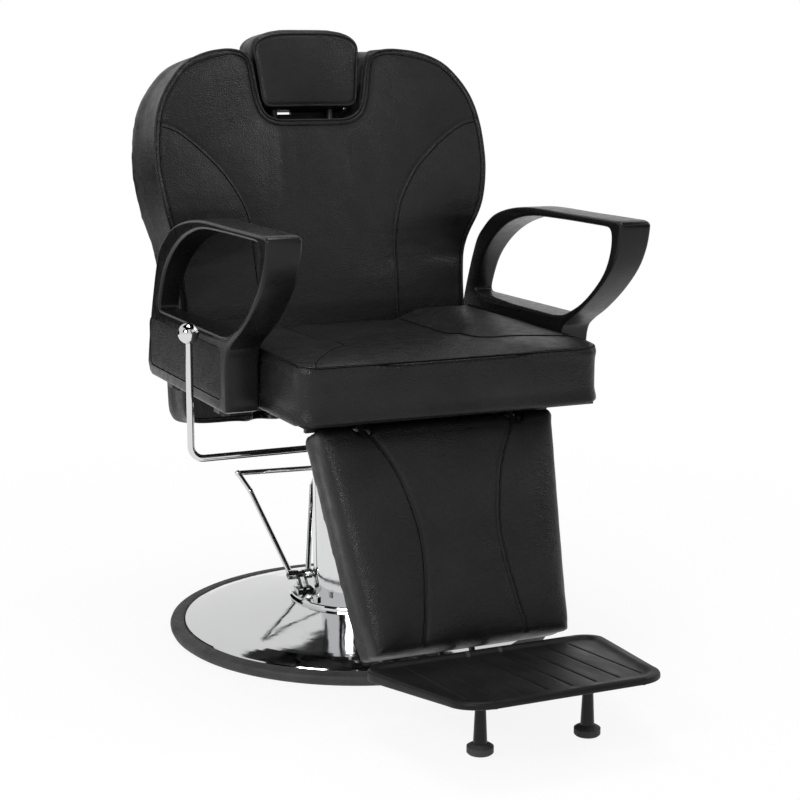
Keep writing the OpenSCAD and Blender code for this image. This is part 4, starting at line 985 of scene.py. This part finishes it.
# %% Leg rest stuffing
LEG_STAPLED = 0.018
leg = even_copy("leg_pad", "legrest_cushion", 0.005, 8)
square_corners(leg)
leg_start = on_leg(leg_seam[:, 0], 0.3, leg_seam[:, 1])
seam_lines = [line for line, _ in both_sides(surface_of(leg), leg_start, LEG_AXIS)]
places = points_of(leg)
depth_here = (LEG_FOOT - places) @ LEG_AXIS
height_here = (places - LEG_FOOT) @ LEG_UP
edge = np.maximum(rise(-LEG_STAPLED - depth_here, 0, 0.015), rise(height_here + 0.002, 0, 0.008))
swell = blow_up(leg, edge, seam_lines, 0.007, draw=0.002)
subdivide_once(leg)
leg_seams = both_sides(surface_of(leg), leg_start, LEG_AXIS)
press_in(leg, [line for line, _ in leg_seams], SEAM_DEPTH, SEAM_WIDTH)
hand_over(leg, "legrest", "legrest_cushion", swell)
outer_rows("leg_stitches_", surface_of(leg), leg_seams, "legrest")

# %% [markdown]
# ## Moulded armrests
# An armrest is one foam moulding: a low side, a loop for the hand and a flat top, with every
# edge rounded. It is a flat outline with a hole, given a thickness and a quarter-round edge
# profile, which suits a shape that is cut from the side. Its outer face has a shallow bed
# for the grained side panel.

# %% Rounded slab
def offset_line(outline, distance):
    """An outline moved inwards: each point slides along the mean normal of its two edges,
    by distance / cos(half the turn), so that straight edges move by exactly the distance."""
    before = unit(outline - np.roll(outline, 1, axis=0))
    after = unit(np.roll(outline, -1, axis=0) - outline)
    turn = 1 if signed_area(outline) > 0 else -1
    n1 = np.stack([-before[:, 1], before[:, 0]], axis=1) * turn
    n2 = np.stack([-after[:, 1], after[:, 0]], axis=1) * turn
    mean = unit(n1 + n2)
    reach = np.maximum((mean * n1).sum(1), 0.5)
    return outline + mean * (distance / reach)[:, None]


def edge_rings(outline, radius, steps, grow):
    """Rings of a wall with both edges rounded: (offset, side, drop), where the offset is
    radius * (1 - sin a) and the drop is radius * (1 - cos a), with a from 0 to 90 degrees."""
    a = np.linspace(0, math.pi / 2, steps)
    inset = radius * (1 - np.sin(a)) * grow
    drop = radius * (1 - np.cos(a))
    high = [(offset_line(outline, i), 1, d) for i, d in zip(inset, drop)]
    return high + [(line, 0, d) for line, _, d in high[::-1]]


def rounded_slab(outline, holes, radius, steps=6, bed=None, bed_depth=0.0):
    """A slab between side 0 and side 1 as rows (u, v, side, drop), plus its faces. The drop
    is how far a point lies inside its side. A bed is a shallow pocket in side 1."""
    rows, faces, caps, total = [], [], {0: [], 1: []}, 0
    for k, line in enumerate([outline] + list(holes)):
        line = line if (signed_area(line) > 0) == (k == 0) else line[::-1]
        n = len(line)
        grow = 1 if k == 0 else -1
        rings = edge_rings(line, radius, steps, grow)
        for r, (ring, side, drop) in enumerate(rings):
            rows.append(np.column_stack([ring, np.full(n, float(side)), np.full(n, drop)]))
        i = np.arange(len(rings) - 1)[:, None]
        j = np.arange(n)[None, :]
        a, b = i * n + j, i * n + (j + 1) % n
        quads = np.stack([a, a + n, b + n, b], axis=-1).reshape(-1, 4) + total
        faces += quads.tolist()
        caps[1].append((rings[0][0], total + np.arange(n)))
        caps[0].append((rings[-1][0], total + (len(rings) - 1) * n + np.arange(n)))
        total += n * len(rings)
    if bed is not None:
        n = len(bed)
        for drop in (0.0, bed_depth):
            rows.append(np.column_stack([bed, np.ones(n), np.full(n, drop)]))
        j = np.arange(n)
        wall = np.stack([total + j, total + (j + 1) % n, total + n + (j + 1) % n, total + n + j], axis=1)
        faces += wall.tolist()
        caps[1].append((bed, total + j))
        floor_faces = tessellate_polygon([[Vector((*p, 0)) for p in bed]])
        faces += [[int(total + n + i) for i in f] for f in floor_faces]
        total += 2 * n
    for side, loops in caps.items():
        index = np.concatenate([i for _, i in loops])
        filled = tessellate_polygon([[Vector((*p, 0)) for p in line] for line, _ in loops])
        faces += [[int(index[i]) for i in f] for f in filled]
    return np.vstack(rows), faces


def close_up(piece):
    """Merges doubled points and turns all faces outwards."""
    shell = bmesh.new()
    shell.from_mesh(piece.data)
    bmesh.ops.remove_doubles(shell, verts=shell.verts, dist=1e-6)
    bmesh.ops.recalc_face_normals(shell, faces=shell.faces)
    shell.to_mesh(piece.data)
    open_edges = sum(not e.is_manifold for e in shell.edges)
    shell.free()
    return open_edges


def crisp(piece, degrees):
    """Smooth shading that breaks at edges sharper than the angle."""
    piece.data.polygons.foreach_set("use_smooth", np.ones(len(piece.data.polygons), bool))
    piece.data.set_sharp_from_angle(angle=math.radians(degrees))


def slab_piece(name, slab, to_chair, finish, degrees=42):
    """A closed piece from a slab, whose rows to_chair(u, v, side, drop) takes to the chair."""
    rows, faces = slab
    piece = make_piece(name, to_chair(*rows.T), faces, finish)
    open_edges = close_up(piece)
    crisp(piece, degrees)
    print(name, len(piece.data.polygons), "faces, open edges", open_edges)
    return piece

# %% Armrest outlines
arm_outer = np.vstack([
    [(-204, 12), (-201, 3), (-192, 0)], [(y, 0) for y in range(-160, 161, 40)], [(172, 4)],
    smooth_line([(181, 20), (170, 62), (148, 124), (116, 190), (80, 222), (20, 250), (-88, 267),
                 (-234, 268), (-366, 268)], 8)[:-1],
    smooth_line([(-366, 268), (-377, 265), (-379, 256), (-371, 227), (-351, 195), (-313, 160),
                 (-267, 128), (-231, 108), (-213, 95), (-206, 80)], 6)[:-1],
    [(-204, 66), (-204, 40)]]) / 1000
arm_hole = np.vstack([
    [(y, 110) for y in range(-180, 91, 30)],
    smooth_line([(104, 110), (113, 119), (89, 164), (55, 196), (11, 222), (-40, 241), (-106, 254),
                 (-202, 257), (-328, 257)], 8)[:-1],
    smooth_line([(-328, 257), (-344, 255), (-351, 245), (-348, 221), (-333, 192), (-303, 163),
                 (-264, 136), (-218, 116), (-190, 111)], 6)[:-1]]) / 1000


def rounded_rectangle(u0, v0, u1, v1, r, steps=8):
    """Four quarter circles joined by straight sides."""
    a = np.linspace(0, math.pi / 2, steps + 1)
    turns = [(u1 - r, v0 + r, -math.pi / 2), (u1 - r, v1 - r, 0), (u0 + r, v1 - r, math.pi / 2),
             (u0 + r, v0 + r, math.pi)]
    return np.vstack([np.column_stack([cu + r * np.cos(t + a), cv + r * np.sin(t + a)])
                      for cu, cv, t in turns])


def dense(outline, gap=0.008):
    """Extra points on the long straight edges of a closed outline."""
    parts = []
    for a, b in zip(outline, np.roll(outline, -1, axis=0)):
        n = max(1, int(np.linalg.norm(b - a) / gap))
        parts.append(a + (b - a) * (np.arange(n) / n)[:, None])
    return np.vstack(parts)


# %% Armrests
ARM_OUT, ARM_IN_FRONT, ARM_IN_REAR, SEAT_BASE = 0.292, 0.241, 0.258, 0.403
PANEL_SUNK, BED_DEPTH = 0.0004, 0.003
panel_bed = rounded_rectangle(-0.184, 0.017, 0.165, 0.094, 0.014)
panel_line = rounded_rectangle(-0.1828, 0.0182, 0.1638, 0.0928, 0.013)
arm_slab = rounded_slab(dense(arm_outer), [dense(arm_hole)], 0.0050, 6, panel_bed, BED_DEPTH)
panel_slab = rounded_slab(panel_line, [], 0.0011, 4)


def armrest(sign):
    """The slab's (u, v) are (y, height above the seat's base). Side 1 is the outer face;
    side 0 is the inner face, at x = 241 mm to the front and 258 mm to the rear."""
    def to_chair(y, height, side, drop):
        inner = np.interp(y, [-0.060, 0.120], [ARM_IN_FRONT, ARM_IN_REAR])
        x = np.where(side > 0.5, ARM_OUT - drop, inner + drop)
        return np.column_stack([sign * x, y, SEAT_BASE + height])
    return to_chair


def side_panel(sign):
    """A thin slab in the bed of the armrest, with 1.2 mm of air round it."""
    def to_chair(y, height, side, drop):
        x = np.where(side > 0.5, ARM_OUT - PANEL_SUNK - drop, ARM_OUT - BED_DEPTH + drop * 0.5)
        return np.column_stack([sign * x, y, SEAT_BASE + height])
    return to_chair


for word, sign in (("left", 1), ("right", -1)):
    arm = slab_piece("arm_moulding_" + word, arm_slab, armrest(sign), skin)
    mount(arm, "seat_frame", "armrest_" + word)
    panel = slab_piece("arm_side_panel_" + word, panel_slab, side_panel(sign), panel_skin)
    mount(panel, "seat_frame", "arm_panel_" + word)

# %% [markdown]
# ## Rear cover of the backrest
# Seen from behind, the back is closed by a board covered with the same leatherette, screwed
# on inside a piped edge. A flap of lining cloth stands behind the foot of the notch and
# closes the gap under the headrest, apart from a short slit.

# %% Rear cover
def between_depths(front, rear):
    """Takes a slab of (x, height) to the chair's back, between two depths."""
    def to_chair(x, height, side, drop):
        return on_back(x, np.where(side > 0.5, front - drop, rear + drop), height)
    return to_chair


cover_half = np.array([(p[0] - 0.012, p[1]) for p in back_half if 0.014 < p[1] < 0.590])
cover_half = np.vstack([[(cover_half[0, 0] - 0.010, 0.012)], cover_half,
                        [(cover_half[-1, 0] - 0.030, 0.588)]])
cover_notch = np.array([(100.5, 588), (96.5, 558), (91, 520), (89, 510), (86.5, 504.5), (81, 502)]) / 1000
slot = np.array([(-10, 502), (-10, 497.5), (-40, 497.5), (-40, 502)]) / 1000
cover_line = np.vstack([cover_half, cover_notch, slot, mirrored(cover_notch[::-1]),
                        mirrored(cover_half[::-1])])
cover = slab_piece("backrest_rear_cover", rounded_slab(dense(cover_line, 0.006), [], 0.0016, 5),
                   between_depths(0.012, 0), leather)
mount(cover, "backrest", "back_board")

# %% Flap behind the notch
flap_line = np.array([(-88, 490), (88, 490), (88, 513), (-88, 513)]) / 1000
flap_hole = np.array([(-40, 499), (-10, 499), (-10, 502.4), (-40, 502.4)]) / 1000
flap_slab = rounded_slab(dense(flap_line, 0.004), [dense(flap_hole, 0.002)], 0.0005, 3)
flap = slab_piece("backrest_flap", flap_slab, between_depths(-0.0003, -0.0018), lining, 38)
mount(flap, "backrest")

# %% [markdown]
# ## Footplate
# A moulded plate with a raised rim, a sunken tread and eight narrow grooves from front to
# rear. It is one grid of columns and rows: the columns crowd at each groove, so that the
# grooves are sharp, and spread out to the rounded corners.

# %% Footplate shape
LEAN = math.radians(5.5)
HINGE_DEPTH, HINGE_HEIGHT = -0.0268, -0.3273
hinge = LEG_FOOT + HINGE_DEPTH * LEG_AXIS + HINGE_HEIGHT * LEG_UP
print("footplate hinge at", hinge.round(4))
PLATE_REAR, PLATE_LEN, PLATE_TOP = 0.009, 0.262, 0.008
PLATE_FRONT = PLATE_REAR - PLATE_LEN
TREAD_HALF, REAR_CORNER, FRONT_CORNER = 0.132, 0.033, 0.048
grooves = 0.036 * np.arange(-3.5, 4)


def plate_half(y):
    """Half width against y: a straight taper from 182 mm behind to 153 mm in front, cut by
    corner circles of 33 mm behind and 48 mm in front."""
    behind, ahead = PLATE_REAR - y, y - PLATE_FRONT
    half = 0.153 + 0.029 * rise(ahead, FRONT_CORNER, PLATE_LEN - 0.081)
    return half - rounded(behind, REAR_CORNER) - rounded(ahead, FRONT_CORNER)


def plate_grid():
    """Columns are even in the tread with seven more at each groove; rows crowd at the ends.
    x is the column's own place in the tread and runs out to the half width beyond it."""
    cut = np.array([-2.4, -1.5, -0.9, 0, 0.9, 1.5, 2.4]) / 1000
    inner = np.unique(np.round(np.concatenate([np.linspace(-TREAD_HALF, TREAD_HALF, 23),
                                               (grooves[:, None] + cut).ravel()]), 5))
    outer = 1 - np.array([0, 0.0006, 0.0015, 0.003, 0.0045, 0.0065, 0.009, 0.012, 0.0145, 0.017, 0.02,
                          0.024, 0.03, 0.04]) / 0.05
    ends = np.array([0, 0.4, 1, 2, 3.5, 5, 7, 9.5, 12, 14, 16, 18, 20, 23, 27, 31]) / 1000
    mids = np.arange(0.036, PLATE_LEN - 0.034, 0.006)
    ahead = np.unique(np.round(np.concatenate([ends, mids, PLATE_LEN - ends]), 5))
    y = PLATE_FRONT + ahead
    half = plate_half(y)[:, None]
    tread = np.minimum(TREAD_HALF, 0.86 * half)
    right = tread + (half - tread) * np.sort(outer)[None, :]
    x = np.hstack([-right[:, ::-1], inner[None, :] / TREAD_HALF * tread, right])
    return x, np.repeat(y[:, None], x.shape[1], axis=1)


def plate_surface():
    """Top: flat, less a quarter-round edge of 5 mm, less the tread's 4.5 mm drop that eases
    in between 11 and 19 mm from the edge, less a 1.6 mm groove exp(-(x / 1.1 mm)^2)."""
    x, y = plate_grid()
    ring = np.linspace(PLATE_FRONT, PLATE_REAR, 1200)
    ends = [[(w, v) for w in np.linspace(0, plate_half(np.array(v)), 200)]
            for v in (PLATE_REAR, PLATE_FRONT)]
    ring = np.vstack([np.column_stack([plate_half(ring), ring]), ends[0], ends[1]])
    edge = distance_to(np.column_stack([np.abs(x).ravel(), y.ravel()]), ring).reshape(x.shape)
    ease = rise(edge, 0.011, 0.008)
    drop = 0.0045 * ease ** 2 * (3 - 2 * ease)
    ahead, behind = y - PLATE_FRONT, PLATE_REAR - y
    span = rise(ahead, 0.030, 0.004) * rise(behind, 0.026, 0.004)
    near = np.abs(x[..., None] - grooves).min(-1)
    cut = 0.0016 * np.exp(-(near / 0.0011) ** 2) * span
    top = PLATE_TOP - rounded(edge, 0.005) - drop - cut
    thick = np.interp(y, [PLATE_FRONT, PLATE_REAR], [0.010, 0.017])
    return x, y, top, PLATE_TOP - thick + rounded(edge, 0.003)


def on_plate(x, y, z):
    """A place in the footplate's own frame, turned by its lean about the hinge."""
    cos, sin = math.cos(LEAN), math.sin(LEAN)
    return np.stack([x, hinge[1] + y * cos + z * sin, hinge[2] - y * sin + z * cos], -1)


def footplate():
    """Top and bottom grids joined by a wall round their edge."""
    x, y, top, bottom = plate_surface()
    n, m = x.shape
    both = np.stack([on_plate(x, y, top), on_plate(x, y, bottom)])
    i, j = np.arange(n - 1)[:, None], np.arange(m - 1)[None, :]
    a, b, c, d = i * m + j, i * m + j + 1, (i + 1) * m + j + 1, (i + 1) * m + j
    faces = np.stack([a, b, c, d], -1).reshape(-1, 4)
    under = faces[:, ::-1] + n * m
    loop = np.concatenate([np.arange(m), np.arange(1, n) * m + m - 1,
                           (n - 1) * m + np.arange(m - 2, -1, -1), np.arange(n - 2, 0, -1) * m])
    after = np.roll(loop, -1)
    wall = np.stack([loop, loop + n * m, after + n * m, after], -1)
    return make_piece("ribbed_footplate", both, np.vstack([faces, under, wall]).tolist(), plate_skin)


def block(name, low, high):
    """A box between two corners of the footplate's own frame, as a cutter."""
    grid = np.array([(x, y, z) for x in (low[0], high[0]) for y in (low[1], high[1])
                     for z in (low[2], high[2])])
    faces = [(0, 1, 3, 2), (4, 6, 7, 5), (0, 4, 5, 1), (2, 3, 7, 6), (0, 2, 6, 4), (1, 5, 7, 3)]
    return make_piece(name, on_plate(*grid.T), faces, plate_skin, smooth=False)


SLOT_WIDTH = 0.007
plate = footplate()
plate_open = close_up(plate)
for k, x0 in enumerate((0.0215, -0.0285)):
    cutter = block("slot_cutter_%d" % k, (x0, -0.011, -0.02), (x0 + SLOT_WIDTH, 0.02, 0.02))
    close_up(cutter)
    cut = plate.modifiers.new("hinge_slot", "BOOLEAN")
    cut.operation = "DIFFERENCE"
    cut.solver = "EXACT"
    cut.object = cutter
    freeze(plate)
    bpy.data.objects.remove(cutter)
crisp(plate, 40)
mount(plate, "footrest", "footplate")
print("footplate:", len(plate.data.polygons), "faces, open edges", plate_open)
